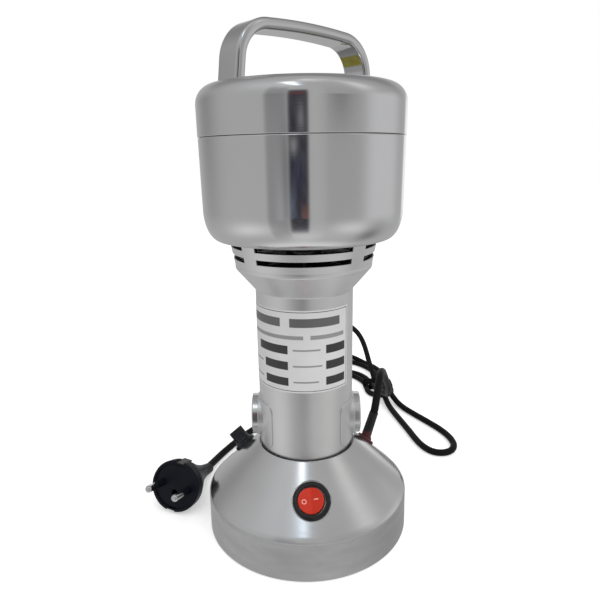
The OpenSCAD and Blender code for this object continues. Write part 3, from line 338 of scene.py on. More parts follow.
# Each light or shade: degrees from the camera's side towards +X and half its
# width, degrees above level and half its height, how crisp its edge is (2 is
# soft, 8 is crisp), and how much light it adds or takes.
ROOM = [
    (-52, 36, 54, 20, 2, (0.12, 0.13, 0.14)),  # ceiling glow on the left
    (-6, 5.6, 53.6, 2.7, 2, (0.78, 0.85, 0.9)),  # strip light, in four lengths
    (-10.5, 6.5, 57.2, 2.7, 2, (0.9, 0.96, 1.0)),
    (-16, 8, 60.8, 2.7, 2, (1.55, 1.6, 1.62)),
    (-24, 15, 67, 4.5, 2, (1.2, 1.25, 1.28)),
    (-10, 14, 58, 10, 4, (-0.01, 0.05, 0.12)),  # its cold edge on the ceiling
    (-20, 13, 58, 20, 2, 0.12),  # its glow on the ceiling
    (30, 60, 84, 12, 2, 0.3),  # lamp overhead
    (78, 14, 46, 20, 2, (0.27, 0.27, 0.26)),  # lamp on the right
    (98, 26, 2, 16, 4, (0.16, 0.16, 0.17)),  # pale wall on the right
    (92, 20, -36, 15, 2, -0.26),  # shade under the table's right edge
    (156, 10, 0, 9, 4, 0.5),  # white sheet behind
    (180, 10, 17, 9, 4, 0.5),  # window behind
    (-122, 22, 8, 18, 2, -0.16),  # shade on the far left
    (132, 16, 22, 16, 2, -0.08),  # shade on the far right
    (180, 60, 48, 20, 4, (-0.2, -0.2, -0.19)),  # dark upper wall behind
    (-66, 30, -26, 11, 2, 0.27),  # table on the left
    (58, 26, -25, 11, 2, (0.28, 0.28, 0.27)),  # table on the right
    (0, 22, -46, 18, 2, 0.12),  # table in front
    (20, 80, -42, 12, 2, 0.07),  # its far edge
    (0, 180, -86, 26, 4, 0.3),  # white sheet underneath
    (-26.5, 12.4, 0, 46, 8, (-0.16, -0.16, -0.155)),  # shaded wall left of the doorway
    (-28, 12, 9, 5, 2, -0.06),  # a picture on it
    (-17, 5, -2, 5, 2, -0.09),  # door frame
    (-24, 5, -7, 4, 2, 0.07),  # pale chair
    (-3.6, 10.6, -2, 32, 9, (-0.42, -0.42, -0.41)),  # doorway
    (-4, 9, 14, 6, 4, (0.08, 0.005, 0.0)),  # red-brown lintel
    (-1, 4, 3.6, 1.5, 2, (0.13, 0.13, 0.135)),  # pale things seen through the doorway
    (-9, 4, 0.4, 0.9, 2, 0.2),
    (-4, 6, -2.4, 1.8, 2, (0.0, 0.0, 0.02)),  # blue-grey ones
    (-11, 3.5, -6, 2.2, 2, (0.06, 0.07, 0.11)),
    (2.5, 4, -6.9, 1.2, 4, (0.1, 0.03, 0.015)),  # a brown one
    (18, 8, 0, 46, 6, (0.02, 0.02, 0.015)),  # lit door leaf
    (44, 24, 0, 46, 4, -0.06),  # wall on the right of it
    (40, 14, 7, 4, 2, -0.15),  # shelf on that wall
]
world = bpy.data.worlds.new("room")
scene.world = world
world.use_nodes = True
room = Bench(world.node_tree)
toward = room.node("TexCoord")
dx, dy, dz = [room.node("SeparateXYZ", sockets={0: toward}, output=k) for k in range(3)]
turn = dx.math("ARCTAN2", dx, 0 - dy) * (180 / math.pi)
rise = dz.math("ARCSINE", dz) * (180 / math.pi)
shown = room.node("RGB")
shown.socket.default_value = colour(ROOM_LEVEL)
clutter = room.noise(room.vector(turn * 0.14, rise * 0.5, 0.0), 1.0, 2.0, 0.6)
for across, half_width, height, half_height, edge, light in ROOM:
    aside = turn.math("WRAP", turn - across, 180.0, -180.0)
    spread = (abs(aside / half_width) ** edge + abs((rise - height) / half_height) ** edge)
    glow = spread.math("EXPONENT", 0 - spread)
    light = colour(light)[:3]
    if min(light) < DEEP_SHADE:
        glow = glow * (1.10 - clutter * 0.22)
    shown = room.node("VectorMath", {"operation": "MULTIPLY_ADD"}, {
        0: light, 1: room.vector(glow, glow, glow), 2: shown})
rays = {name: room.node("LightPath", output=k) for k, name in
        ((0, "camera"), (3, "glossy"), (6, "transmission"))}
white = room.node("Background", sockets={0: colour(1.0), 1: 1.0})
mirrored = room.node("Background", sockets={0: shown, 1: 1.0})
filling = room.node("Background", sockets={0: colour(1.0), 1: 0.74})
seen = room.node("MixShader", sockets={0: rays["glossy"], 1: filling, 2: mirrored})
clear = rays["camera"].math("MAXIMUM", rays["camera"], rays["transmission"])
room.node("OutputWorld", sockets={0: room.node("MixShader", sockets={0: clear, 1: seen, 2: white})})


def matrix(at, *turns):
    """Moves to a point, then turns by each (degrees, axis) in the order given."""
    place = Matrix.Translation(at)
    for degrees, axis in turns:
        place = place @ Matrix.Rotation(math.radians(degrees), 4, axis)
    return place


lamp = bpy.data.objects.new("soft_lamp", bpy.data.lights.new("soft_lamp", "AREA"))
lamp.data.shape = "RECTANGLE"
lamp.data.size, lamp.data.size_y = 1.4, 1.0
lamp.data.energy = 8.0
lamp.matrix_world = matrix((0.35, -0.55, 1.25), (18, "Y"), (24, "X"))
lamp.visible_glossy = False
scene.collection.objects.link(lamp)

sheet_x, sheet_y = np.meshgrid(np.linspace(-3000, 3000, 9), np.linspace(-3000, 3000, 9))
table = skin("table_sheet", [np.stack([sheet_x, sheet_y, 0 * sheet_x], axis=-1)])
sheet = bpy.data.materials.new("table_sheet")
sheet.use_nodes = True
paper = Bench(sheet.node_tree)
straight = [paper.node("LightPath", output=k) for k in (0, 6)]
lift = straight[0].math("MAXIMUM", *straight) * 0.42
paper.node("OutputMaterial", sockets={0: paper.node("AddShader", sockets={
    0: paper.node("BsdfDiffuse", sockets={0: colour(0.85)}),
    1: paper.node("Emission", sockets={0: colour(1.0), 1: lift})})})
dress(table, sheet)
table.visible_glossy = False


# ---------- base casting
# The foot is one aluminium casting: a cone that is turned and polished on a
# lathe, over a band left as cast, with three round spot-faces for the switch,
# the fuse and the cord, and a deep socket in which the neck stands.
BAND_TOP = 24.5
CONE_LEAN = 44.0
CONE_FOOT = (59.54, 27.32)
CONE_TOP = 30.2
WALL = 3.2
SOCKET = 29.5
SEAT = 47.92
SWITCH_AT, FUSE_AT, OUTLET_AT = (-87.0, 45.8), (155.0, 45.5), (28.0, 45.0)
SWITCH_SUNK, FUSE_SUNK, OUTLET_SUNK = 1.2, 0.5, 0.5
FLOOR_WIDE = 2.6


def circle(az):
    """Level directions at the given azimuths in degrees."""
    turn = np.radians(az)
    return np.stack([np.cos(turn), np.sin(turn), 0 * turn], axis=-1)


def arc(centre, radius, start, stop, count=8):
    """Points on a circle, or on an ellipse with two radii, from one angle to another."""
    return np.array(centre) + np.array(radius) * circle(np.linspace(start, stop, count + 1))[:, :2]


def placed(grid, place):
    """The grid's points carried to where a 4 by 4 matrix puts them."""
    m = np.array(place)
    return grid @ m[:3, :3].T + m[:3, 3]


def rings(profile, az):
    """One ring of points, at the given azimuths in degrees, for each radius and height."""
    around = circle(az)
    if abs(az[-1] - az[0] - 360) < 1e-6:
        around[-1] = around[0]
    profile = np.array(profile, float)
    return profile[:, None, :1] * around + profile[:, None, 1:] * [0, 0, 1]


def turned(profile, place=Matrix(), steps=180, crease=25):
    """A lathe surface: the profile, radius and height, goes round the local Z axis. It runs up the
    outside and down the inside, and it is cut into patches where it bends sharply."""
    profile = np.array(profile, float)
    az = np.linspace(0, 360, steps + 1)
    way = unit(np.diff(profile, axis=0))
    bend = np.degrees(np.arccos(np.clip((way[1:] * way[:-1]).sum(axis=1), -1, 1)))
    cuts = [0, *(np.flatnonzero(bend > crease) + 1), len(profile) - 1]
    return [placed(rings(profile[a:b + 1], az), place) for a, b in zip(cuts[:-1], cuts[1:])]


def cone_z(r):
    """Height of the cone's surface at a radius."""
    return CONE_FOOT[1] + (CONE_FOOT[0] - r) * math.tan(math.radians(CONE_LEAN))


def on_cone(where, sunk=0.0):
    """Stands on the cone at an azimuth and radius, with Z along the normal and X downhill."""
    az, r = where
    a = math.radians(az)
    return (matrix((r * math.cos(a), r * math.sin(a), cone_z(r)), (az, "Z"), (CONE_LEAN, "Y"))
            @ matrix((0, 0, -sunk)))


def cone_patch(az, r):
    """The cone's own surface and exact normals at the given azimuths and radii."""
    around, lean = circle(az), math.radians(CONE_LEAN)
    return (r[..., None] * around + cone_z(r)[..., None] * [0, 0, 1],
            math.sin(lean) * around + [0, 0, math.cos(lean)])


CONE_ROWS = np.array([CONE_FOOT[0], 53.0, 46.0, 39.0, CONE_TOP])


def cone_sector(start, stop):
    """A plain part of the cone between two azimuths."""
    az, r = np.meshgrid(np.arange(start, stop + 1, 2.0), CONE_ROWS)
    return [cone_patch(az, r)]


def cone_spot(where, sunk, radius, half, edge=0.2):
    """A part of the cone with a round flat spot-face sunk in it: rings go from the part's outline
    to the edge of the recess, over a small round, down its wall and across its floor."""
    az = np.arange(where[0] - half, where[0] + half + 1, 2.0)
    side = CONE_ROWS[1:-1]
    outline = np.concatenate([np.stack(np.broadcast_arrays(*line), axis=-1) for line in (
        (az, CONE_ROWS[0]), (az[-1], side), (az[::-1], CONE_ROWS[-1]), (az[0], side[::-1]),
        (az[:1], CONE_ROWS[0]))])
    place = on_cone(where)
    toward = unit(placed(cone_patch(*outline.T)[0], place.inverted()) * [1, 1, 0])

    def on_surface(reach):
        point = reach * toward
        for _ in range(12):
            out = placed(point, place)
            r = np.hypot(out[:, 0], out[:, 1])
            point[:, 2] -= (out[:, 2] - cone_z(r)) * math.cos(math.radians(CONE_LEAN))
        return point

    rim = placed(on_surface(radius + edge), place)
    rim_az = where[0] + (np.degrees(np.arctan2(rim[:, 1], rim[:, 0])) - where[0] + 180) % 360 - 180
    rim_at = np.stack([rim_az, np.hypot(rim[:, 0], rim[:, 1])], axis=-1)
    share = np.linspace(0, 1, 9)[:, None, None]
    over = (1 - share) * outline + share * rim_at
    turn = np.radians(np.linspace(0, 90, 6))[:, None, None]
    inward = np.sin(turn) * toward + (1 - np.cos(turn)) * [0, 0, 1]
    lip = on_surface(radius + edge) - edge * inward
    lip[..., 2] = np.maximum(lip[..., 2], -sunk)
    floor = radius * toward - [0, 0, sunk]
    return [cone_patch(over[..., 0], over[..., 1]), *[placed(grid, place) for grid in (
        lip, np.stack([lip[-1], floor]), np.stack([floor, floor - FLOOR_WIDE * toward]))]]


lip_z = cone_z(CONE_TOP)
inner_z = WALL / math.cos(math.radians(CONE_LEAN))
shelf = SEAT - WALL
under_r = CONE_FOOT[0] - (shelf + inner_z - CONE_FOOT[1]) / math.tan(math.radians(CONE_LEAN))
base_shell = skin("base_casting", [
    *turned([[59.3, 0.4], [62.3, 0.4], [62.9, 1.2], [62.75, 10], [62.5, BAND_TOP - 0.3],
             [61.9, BAND_TOP], *arc((47.31, 14.66), 17.6, 34, 46)]),
    *cone_spot(SWITCH_AT, SWITCH_SUNK, 11.3, 19), *cone_sector(-68, 16),
    *cone_spot(OUTLET_AT, OUTLET_SUNK, 6.2, 12), *cone_sector(40, 140),
    *cone_spot(FUSE_AT, FUSE_SUNK, 7.5, 15), *cone_sector(170, 254),
    *turned([[CONE_TOP, lip_z], [29.8, lip_z + 0.25], [SOCKET, lip_z], [SOCKET, SEAT],
             [19, SEAT], [19, shelf], [under_r, shelf], [56.5, cone_z(56.5) - inner_z],
             [59.3, 22], [59.3, 0.4]])])


def ring_grain(bench, fine, coarse=4.0):
    """Tool marks that run round the mill: a noise squeezed hard along its height."""
    x, y, z = bench.place()
    return bench.noise(bench.vector(x * coarse, y * coarse, z * fine), 1.0, 2.0, 0.5)


def cone_or_band(bench):
    """1 on the turned cone, 0 on the band below it."""
    return bench.step(bench.place()[2] / MM, BAND_TOP - 0.5, BAND_TOP + 0.7)


base_aluminium = finish(
    "base_aluminium", Metallic=1.0, Anisotropic=0.8,
    Base_Color=lambda b: b.blend(cone_or_band(b), tinted(45, 0.58, 0.70, (1, 1, 4))(b),
                                 tinted(30, 0.68, (0.76, 0.76, 0.768))(b)),
    Roughness=lambda b: b.node("Mix", sockets={0: cone_or_band(b), 2: speckle(240, 0.34, 0.52)(b),
                                               3: ring_grain(b, 1100) * 0.10 + 0.085}),
    relief=lambda b: b.node("Mix", sockets={0: cone_or_band(b), 2: speckle(420, 0, 1, detail=4)(b),
                                            3: ring_grain(b, 1600) * 0.15}),
    relief_mm=0.015)
fit(base_shell, base_aluminium, "base_shell")


# ---------- switch
# A round snap-in rocker switch of glossy black nylon sits in the front spot-
# face. Its red rocker tips about a pin across its middle; a pale O and a dash
# are printed on its two halves.
BEZEL = 10.8
ROCKER = 7.35
ROCKER_TILT = 8.0
switch_place = on_cone(SWITCH_AT, SWITCH_SUNK) @ matrix((0, 0, 0), (90, "Z"))
rocker_place = switch_place @ matrix((0, 0, -1.6), (-ROCKER_TILT, "Y"))

switch_black = plain("switch_black", (120, 0.006, 0.012), (200, 0.14, 0.26), (1500, 0.01),
                     Specular_IOR_Level=0.4)
fit(skin("switch_frame", turned(
    [[BEZEL, -1.0], [BEZEL, 0.9], *arc((BEZEL - 1.7, 0.9), 1.7, 0, 90), [8.4, 2.6],
     *arc((8.4, 2.2), 0.4, 90, 180, 4)[1:], [8.0, -6.9], [0, -6.9]], switch_place, 96)),
    switch_black, "switch_bezel")


def rocker_height(x):
    """The rocker's top is two slopes that meet in a soft valley at its middle."""
    return 3.4 + 2 * math.tan(math.radians(ROCKER_TILT)) * (np.sqrt(x ** 2 + 0.25) - 0.5)


def rocker_skin():
    """A round button: rings from its middle to near its rim on the two slopes, then over a small
    round and down its side."""
    around = arc((0, 0), 1, 0, 360, 96)
    top = np.linspace(ROCKER - 0.5, 0, 13)[:, None, None] * around
    top = np.concatenate([top, rocker_height(top[..., :1])], axis=-1)
    over = np.radians(np.linspace(0, 90, 6))[:, None, None]
    rim = (ROCKER - 0.5 + 0.5 * np.cos(over)) * around
    rim = np.concatenate([rim, rocker_height(rim[..., :1]) - 0.5 + 0.5 * np.sin(over)
                          + 0 * rim[..., :1]], axis=-1)
    side = np.stack([rim[0], rim[0]])
    side[0, :, 2] = -2.2
    foot = np.stack([side[0] * [0, 0, 1], side[0]])
    return [placed(grid, rocker_place) for grid in (foot, side, np.concatenate([rim, top[1:]]))]


def printed(loop_out, loop_in, lift=0.03):
    """A flat printed mark between two loops on the rocker's top."""
    grid = np.stack([loop_out, loop_in])
    grid = np.concatenate([grid, rocker_height(grid[..., :1]) + lift], axis=-1)
    return placed(grid, rocker_place)


rocker_red = plain("rocker_red", (150, (0.47, 0.020, 0.007), (0.56, 0.031, 0.010)),
                   (220, 0.22, 0.36), (1500, 0.01), Specular_IOR_Level=0.3)
fit(skin("rocker_button", rocker_skin()), rocker_red, "switch_rocker", body="rocker")
RING_AT, DASH_AT = [-3.8, -0.5], [3.0, 0.6]
ring_way = arc((0, 0), 1.0, 0, 360, 40)
dash_way = np.array([[-1, -1], [1, -1], [1, 1], [-1, 1], [-1, -1]]) * [1.25, 0.26]
marks = skin("rocker_marks", [printed(ring_way * 1.35 + RING_AT, ring_way * 0.95 + RING_AT),
                              printed(dash_way + DASH_AT, dash_way * 0.01 + DASH_AT)])
mark_paint = finish("rocker_paint", Roughness=speckle(200, 0.3, 0.5),
                    Base_Color=tinted(150, (0.90, 0.42, 0.34), (0.95, 0.55, 0.48)))
fit(marks, mark_paint, body="rocker", slot="rocker_red")


# ---------- fuse and cord outlet
# Left of the neck a black fuse holder stands on the cone with a fluted screw
# cap; on the right a maroon rubber grommet leads the cord out in a sleeve
# that leans back upright.
OUTLET_LEAN = 23.0
fuse_place = on_cone(FUSE_AT, FUSE_SUNK)
outlet_place = on_cone(OUTLET_AT, OUTLET_SUNK)

fuse_black = plain("fuse_black", (110, (0.006, 0.007, 0.010), (0.010, 0.012, 0.018)),
                   (160, 0.28, 0.46), (900, 0.02))
fit(skin("fuse_collar", turned(
    [[7.3, -0.4], [7.3, 1.2], *arc((6.1, 1.2), 1.2, 0, 90, 6)[1:], [3.7, 2.4], [3.7, -16],
     [0, -16]], fuse_place, 72)), fuse_black, "fuse_holder")
FUSE_CAP, CAP_TOP = 4.9, 9.4


def fluted(profile, place, flutes=8, reach=0.55, cut=0.9, floor=4.25):
    """A turned cap whose wall is cut by round flutes: above the floor, each ring's radius is the
    smaller of its own and the near side of the flute's circle."""
    az = np.linspace(0, 360, 145)
    grid = rings(profile, az)
    off = np.radians((az + 180 / flutes) % (360 / flutes) - 180 / flutes)
    hub = FUSE_CAP + reach
    room_left = cut ** 2 - (hub * np.sin(off)) ** 2
    near = np.where(room_left > 0, hub * np.cos(off) - np.sqrt(np.maximum(room_left, 0)), 99.0)
    r = np.hypot(grid[..., 0], grid[..., 1])
    cutting = np.where(grid[..., 2] > floor, near, 99.0)
    grid[..., :2] *= (np.minimum(r, cutting) / np.maximum(r, 1e-9))[..., None]
    return placed(grid, place)


cap_place = fuse_place @ matrix((0, 0, 2.45))
skirt = [[0, 0.0], [FUSE_CAP + 1, 0.0], [FUSE_CAP + 1, 0.5],
         *arc((FUSE_CAP + 1, 3.4), (1, 2.9), 260, 180, 6)]


def slotted_top(radius, z, length, width, deep, place):
    """A round flat top with a screwdriver slot: the top between circle and slot, the slot's wall,
    and its floor. The slot's four sides have as many points each, which face the circle's."""
    u = np.linspace(-1, 1, 13)[:-1]
    one = np.ones_like(u)
    slot = np.stack([np.concatenate([one, -u, -one, u]) * length / 2,
                     np.concatenate([u, one, -u, -one]) * width / 2], axis=-1)
    slot = np.concatenate([slot, slot[:1]])
    edge, floor = [np.insert(slot, 2, at, axis=1) for at in (z, z - deep)]
    rim = rings([[radius, z]], np.linspace(-45, 315, 49))[0]
    return [placed(np.stack(pair), place)
            for pair in ((rim, edge), (edge, floor), (floor, floor * [0, 0, 1]))]


fuse_cap = skin("fuse_cap_fluted", [
    *turned(skirt, cap_place, 144),
    fluted([[FUSE_CAP, 3.4], [FUSE_CAP, 4.2], [FUSE_CAP, 4.3], [FUSE_CAP, CAP_TOP - 0.6],
            *arc((FUSE_CAP - 0.6, CAP_TOP - 0.6), 0.6, 15, 90, 5)], cap_place),
    *slotted_top(FUSE_CAP - 0.6, CAP_TOP, 7.6, 1.2, 1.6, cap_place)])
fit(fuse_cap, fuse_black, "fuse_cap", body="fuse_cap")

SLEEVE_FROM = 48.2
outlet_rubber = finish("outlet_rubber", Base_Color=lambda b: b.blend(
    b.step(b.place()[2], (SLEEVE_FROM - 0.4) * MM, (SLEEVE_FROM + 0.4) * MM),
    tinted(90, (0.050, 0.010, 0.014), (0.080, 0.016, 0.022))(b), tinted(60, 0.006, 0.012)(b)),
                       Roughness=speckle(180, 0.36, 0.55),
                       relief=speckle(700, 0, 1), relief_mm=0.03)
sleeve_place = outlet_place @ matrix((0, 0, 0), (-OUTLET_LEAN, "Y"))
outlet = skin("cord_grommet", [
    *turned([[6.0, -0.4], [6.0, 0.9], *arc((5.0, 0.9), (1.0, 1.1), 0, 90, 6)[1:], [0, 2.0]],
            outlet_place, 72),
    *turned([[4.2, 1.0], [4.0, 2.0], [3.3, 3.4], [3.1, 9], [3.0, 15], [2.95, 19.4],
             *arc((2.8, 19.75), 0.25, 0, 90, 4), [CORD_D / 2 - 0.05, 20.0], [CORD_D / 2 - 0.05, 8]],
            sleeve_place, 48)])
fit(outlet, outlet_rubber, "cord_outlet")


# ---------- motor housing
# The neck is a turned and brushed aluminium casting. It carries a raised pad
# and a round boss on each side, widens in a flare, and ends in a vent ring
# with two rows of long slots between four pillars.
NECK = 28.3
PAD = 29.0
BOSS_Z = 72.72
VENT_FOOT, VENT_TOP = (39.1, 168.52), (41.7, 182.52)
VENT_IN_FOOT, VENT_IN_TOP = (36.6, 168.72), (39.2, 182.52)
VENT_ROWS = np.array([168.52, 172.22, 175.02, 178.82, 181.62, 182.52])
SLOT_HALF = 38


def between(foot, top, z):
    """Radius at a height on the straight line from foot to top."""
    return foot[0] + (top[0] - foot[0]) * (z - foot[1]) / (top[1] - foot[1])


def vent_ring():
    """Two coaxial cones with windows, and the windows' four sides. Returns the patches, and the
    cells of the first two that are left out."""
    az = np.linspace(0, 360, 181)
    outer = np.stack([between(VENT_FOOT, VENT_TOP, VENT_ROWS), VENT_ROWS], axis=-1)
    rows_in = np.maximum(VENT_ROWS, VENT_IN_FOOT[1])
    inner = np.stack([between(VENT_IN_FOOT, VENT_IN_TOP, rows_in), rows_in], axis=-1)
    patches = [rings(outer, az), rings(inner[::-1], az)]
    middle = (az[:-1] + 1 + 45) % 90 - 45
    open_cells = np.abs(middle) < SLOT_HALF
    for low in (1, 3):
        for centre in (0, 90, 180, 270):
            span = np.arange(centre - SLOT_HALF, centre + SLOT_HALF + 1, 2.0)
            a, b = low, low + 1
            patches += [rings([inner[a], outer[a]], span)[::-1], rings([inner[b], outer[b]], span)]
            for end, order in ((span[:1], 1), (span[-1:], -1)):
                side = [rings(wall[a:b + 1], end) for wall in (outer, inner)]
                patches.append(np.concatenate(side, axis=1)[:, ::order])
    return patches, [(wall, row, open_cells) for wall, row in ((0, 1), (0, 3), (1, 3), (1, 1))]


def rounded_box(half_x, half_y, corner, offset=0.0, count=8):
    """A rectangle with round corners as a closed loop, grown by an offset."""
    loop = np.concatenate([
        arc((x * (half_x - corner), y * (half_y - corner)), corner + offset, at, at + 90, count)
        for x, y, at in ((1, 1, 0), (-1, 1, 90), (-1, -1, 180), (1, -1, 270))])
    return np.concatenate([loop, loop[:1]])


def neck_pad(place):
    """A thin raised pad bent round the neck: rings of one rounded rectangle, whose long sides are
    cut into short steps, from its middle to its edge, over a small round and into the neck."""
    half_wide, half_high, corner, edge, longest = PAD * math.pi / 4, 14.0, 5.0, 0.35, 1.4
    gap = np.linalg.norm(np.diff(rounded_box(half_wide, half_high, corner), axis=0), axis=1)
    steps = np.maximum(1, np.rint(gap / longest)).astype(int)
    k = np.repeat(np.arange(len(gap)), steps)
    share = (np.arange(len(k)) - (np.cumsum(steps) - steps)[k]) / steps[k]

    def outline(offset):
        at = rounded_box(half_wide, half_high, corner, offset)
        line = at[k] + (at[k + 1] - at[k]) * share[:, None]
        return np.concatenate([line, line[:1]])

    stack = [(outline(0), NECK - 0.4)]
    stack += [(outline(-edge + edge * math.cos(t)), PAD - edge + edge * math.sin(t))
              for t in np.radians(np.linspace(0, 90, 5))[:-1]]
    stack += [(size * outline(-edge), PAD) for size in np.linspace(1, 0, 12)]
    grid = np.stack([r * circle(np.degrees(line[:, 0] / PAD)) + line[:, 1:] * [0, 0, 1]
                     for line, r in stack])
    return [placed(grid[:2], place), placed(grid[1:], place)]


vents, vent_holes = vent_ring()
boss = [[13.0, 24.0], [13.0, 29.1], *arc((12.7, 29.1), 0.3, 0, 90, 4)[1:], [9.0, 29.4], [9.0, 20.0]]
rib = [[38.4, 177.9], [33.2, 177.9], [33.2, 175.9], [38.0, 175.9]]  # inside, between the two rows
neck_parts = [*vents, *turned([VENT_TOP, VENT_IN_TOP]), *turned(rib), *turned([
    [19, SEAT], [NECK, SEAT], [NECK, 100], [NECK, 152.72], [28.6, 153.72], [38.7, 165.72],
    [39.1, 166.72], VENT_FOOT]), *turned([
        VENT_IN_FOOT, [36.1, 166.72], [25.8, 154.72], [25.8, 51.92], [19, 51.92], [19, SEAT]])]
for half_turn in (0, 180):
    face = matrix((0, 0, 0), (half_turn, "Z"))
    neck_parts += [*neck_pad(face @ matrix((0, 0, 72.32))),
                   *turned(boss, face @ matrix((0, 0, BOSS_Z), (90, "Y")), 96)]
housing = skin("neck_casting", neck_parts, vent_holes)


def painted_vent_shade(bench):
    """1 on the walls of the vent slots and behind them: there shade is painted into the colour as
    near black, and the casting is rougher.
    """
    x, y, z = [part / MM for part in bench.place()]
    depth = between(VENT_FOOT, VENT_TOP, z) - (x * x + y * y) ** 0.5
    return bench.step(depth, 0.3, 1.0) * bench.step(z, VENT_FOOT[1] + 1.5, VENT_FOOT[1] + 1.9)


housing_aluminium = finish(
    "housing_aluminium", Metallic=1.0,
    # Near black painted shade on the vent walls and behind them, over the brushed aluminium.
    Base_Color=lambda b: b.blend(painted_vent_shade(b), tinted(28, 0.80, 0.88)(b), colour(0.03)),
    Roughness=lambda b: (ring_grain(b, 900) * 0.10 + speckle(60, 0.30, 0.38)(b)
                         + painted_vent_shade(b) * 0.3),
    relief=lambda b: ring_grain(b, 1800) * 0.5 + speckle(300, 0, 0.3)(b), relief_mm=0.012)
fit(housing, housing_aluminium, "motor_housing")

cap_steel = plain("cap_steel", (50, 0.70, 0.77), (120, 0.14, 0.26), (700, 0.01), 1.0)
for side, word in ((1, "right"), (-1, "left")):
    place = matrix((0, 0, BOSS_Z), (side * 90, "Y"))
    cap = skin("brush_cap_face_" + word, [
        *turned([[12.5, 28.6], [12.5, 32.2], *arc((11.7, 32.2), 0.8, 0, 90, 6)[1:], [9.5, 33.0],
                 [8.7, 32.4], [8.0, 32.4]], place, 96),
        *slotted_top(8.0, 32.4, 12.0, 1.8, 1.2, place)])
    fit(cap, cap_steel, "brush_cap_" + word, slot="housing_aluminium")


# ---------- front label
# A silver-white foil sticker is wrapped round the front of the neck. It has
# a thin dark line near its top and bottom, and plain dark blocks in two
# columns, as a rating table has, with no words.
LABEL_LOW, LABEL_HIGH = 98.3, 146.5
LABEL_LEFT, LABEL_RIGHT = -50.0, 28.2
label_az = np.degrees(np.linspace(LABEL_LEFT, LABEL_RIGHT, 72) / NECK) - 90
label = skin("front_label", [rings(
    [[NECK + 0.02, LABEL_LOW], [NECK + 0.12, LABEL_LOW + 0.05],
     [NECK + 0.12, LABEL_HIGH - 0.05], [NECK + 0.02, LABEL_HIGH]], label_az)])
# bars: left and right in mm round the neck from the camera's side, bottom and top, darkness
LABEL_BARS = [
    (-44, -14.2, 136.9, 141.9, 0.86), (-8.6, 21, 136.9, 141.9, 0.86),
    (-40, -1.0, 129.9, 132.1, 0.6), (2.9, 24.3, 129.9, 132.3, 0.6),
    (-31.6, -9.9, 121.2, 126.2, 1), (-7, 8.5, 123.2, 124.2, 0.6), (11.8, 25.4, 121.2, 126.2, 1),
    (-40, -28.5, 113.8, 114.8, 0.6), (-26.2, -9.9, 111.8, 116.8, 1),
    (-7, 9.5, 113.8, 114.8, 0.6), (11.8, 25.4, 111.8, 116.8, 1),
    (-40, -28.5, 104.3, 105.3, 0.6), (-25.8, -9.8, 102.3, 107.2, 1),
    (-7, 7.5, 104.3, 105.3, 0.6), (11.8, 25.4, 102.3, 107.2, 1)]


def label_print(bench):
    """How dark the label is printed: its four border lines and its bars."""
    x, y, z = bench.place()
    along, high = x.math("ARCTAN2", x, 0 - y) * NECK, z / MM

    def past(left, right, low, top):
        side = abs(along - (left + right) / 2) - (right - left) / 2
        return side.math("MAXIMUM", side, abs(high - (low + top) / 2) - (top - low) / 2)

    ink = bench.step(abs(past(LABEL_LEFT, LABEL_RIGHT, LABEL_LOW, LABEL_HIGH) + 1.1), 0.26, 0.12)
    for *sides, dark in LABEL_BARS:
        ink = ink.math("MAXIMUM", ink, bench.step(past(*sides), 0.10, -0.10) * dark)
    return ink


label_foil = finish(
    "label_foil", Roughness=speckle(90, 0.30, 0.42), relief=speckle(500, 0, 1), relief_mm=0.01,
    Base_Color=lambda b: b.blend(label_print(b), tinted(60, 0.62, 0.68)(b), colour(0.03)))
fit(label, label_foil, slot="housing_aluminium")


# ---------- chamber, lid, handle
# Casing and lid are spun from stainless steel and polished like a mirror,
# with a hairline gap where the lid sits. A chromed flat bar is bent into the
# handle, whose two feet are screwed to the lid from inside.
CHAMBER, CHAMBER_Z = 55.3, 182.52
chamber_steel = finish(
    "chamber_steel", Metallic=1.0, Base_Color=tinted(18, 0.70, (0.75, 0.75, 0.7575)),
    Roughness=lambda b: (ring_grain(b, 700) * 0.03 + speckle(30, 0.012, 0.035)(b)
                         + b.step(b.place()[2] / MM, CHAMBER_Z + 3.5, CHAMBER_Z + 0.7) * 0.30),
    relief=lambda b: ring_grain(b, 1600, 2.0), relief_mm=0.003)
casing = skin("chamber_casing_spun", turned(
    [[30, CHAMBER_Z], *arc((47.2, CHAMBER_Z + 16.28), (7.9, 16.28), -90, 0, 24),
     [55.2, 217], [CHAMBER, 235.0], *arc((CHAMBER - 0.9, 235.0), 0.9, 0, 90, 9)[1:],
     [53.4, 235.9], [53.4, 199.82], *arc((45.1, 199.82), (8.3, 15.7), 0, -90, 16)[1:],
     [30, CHAMBER_Z + 1.6], [30, CHAMBER_Z]]))
fit(casing, chamber_steel, "chamber_casing")
lid_over = [[53.4, 235.98], *arc((CHAMBER - 0.1, 236.28), 0.3, -90, 0, 5), [CHAMBER + 0.2, 251.6],
            *arc((46.1, 251.6), (9.4, 9.82), 0, 90, 24)[1:], [30, 261.42], [0, 261.42]]
lid_under = [[0, 259.82], [45, 259.82], *arc((45, 249.42), (8.4, 10.4), 90, 0, 16)[1:],
             [53.4, 235.98]]
lid = skin("lid_spun", turned(lid_over) + turned(lid_under))
fit(lid, chamber_steel, "lid_shell", body="lid")

HANDLE_TURN = 42.7
CROWN, CROWN_HALF = 286.4, 25.79
TAPE_Z = 276.7


def tape(bench):
    """1 on the inner face of the handle's far leg where a bit of yellow tape is left."""
    x, y, z = bench.place()
    across = y * math.cos(math.radians(HANDLE_TURN)) - x * math.sin(math.radians(HANDLE_TURN))
    far = bench.step(x + y, 0.040, 0.044) * bench.step(across, -0.0072, -0.0062)
    ragged = bench.noise(bench.vector(x, y, z), 500, 3.0) * 0.0016
    return far * bench.step(abs(z - TAPE_Z * MM) + ragged, 0.0036, 0.0030)


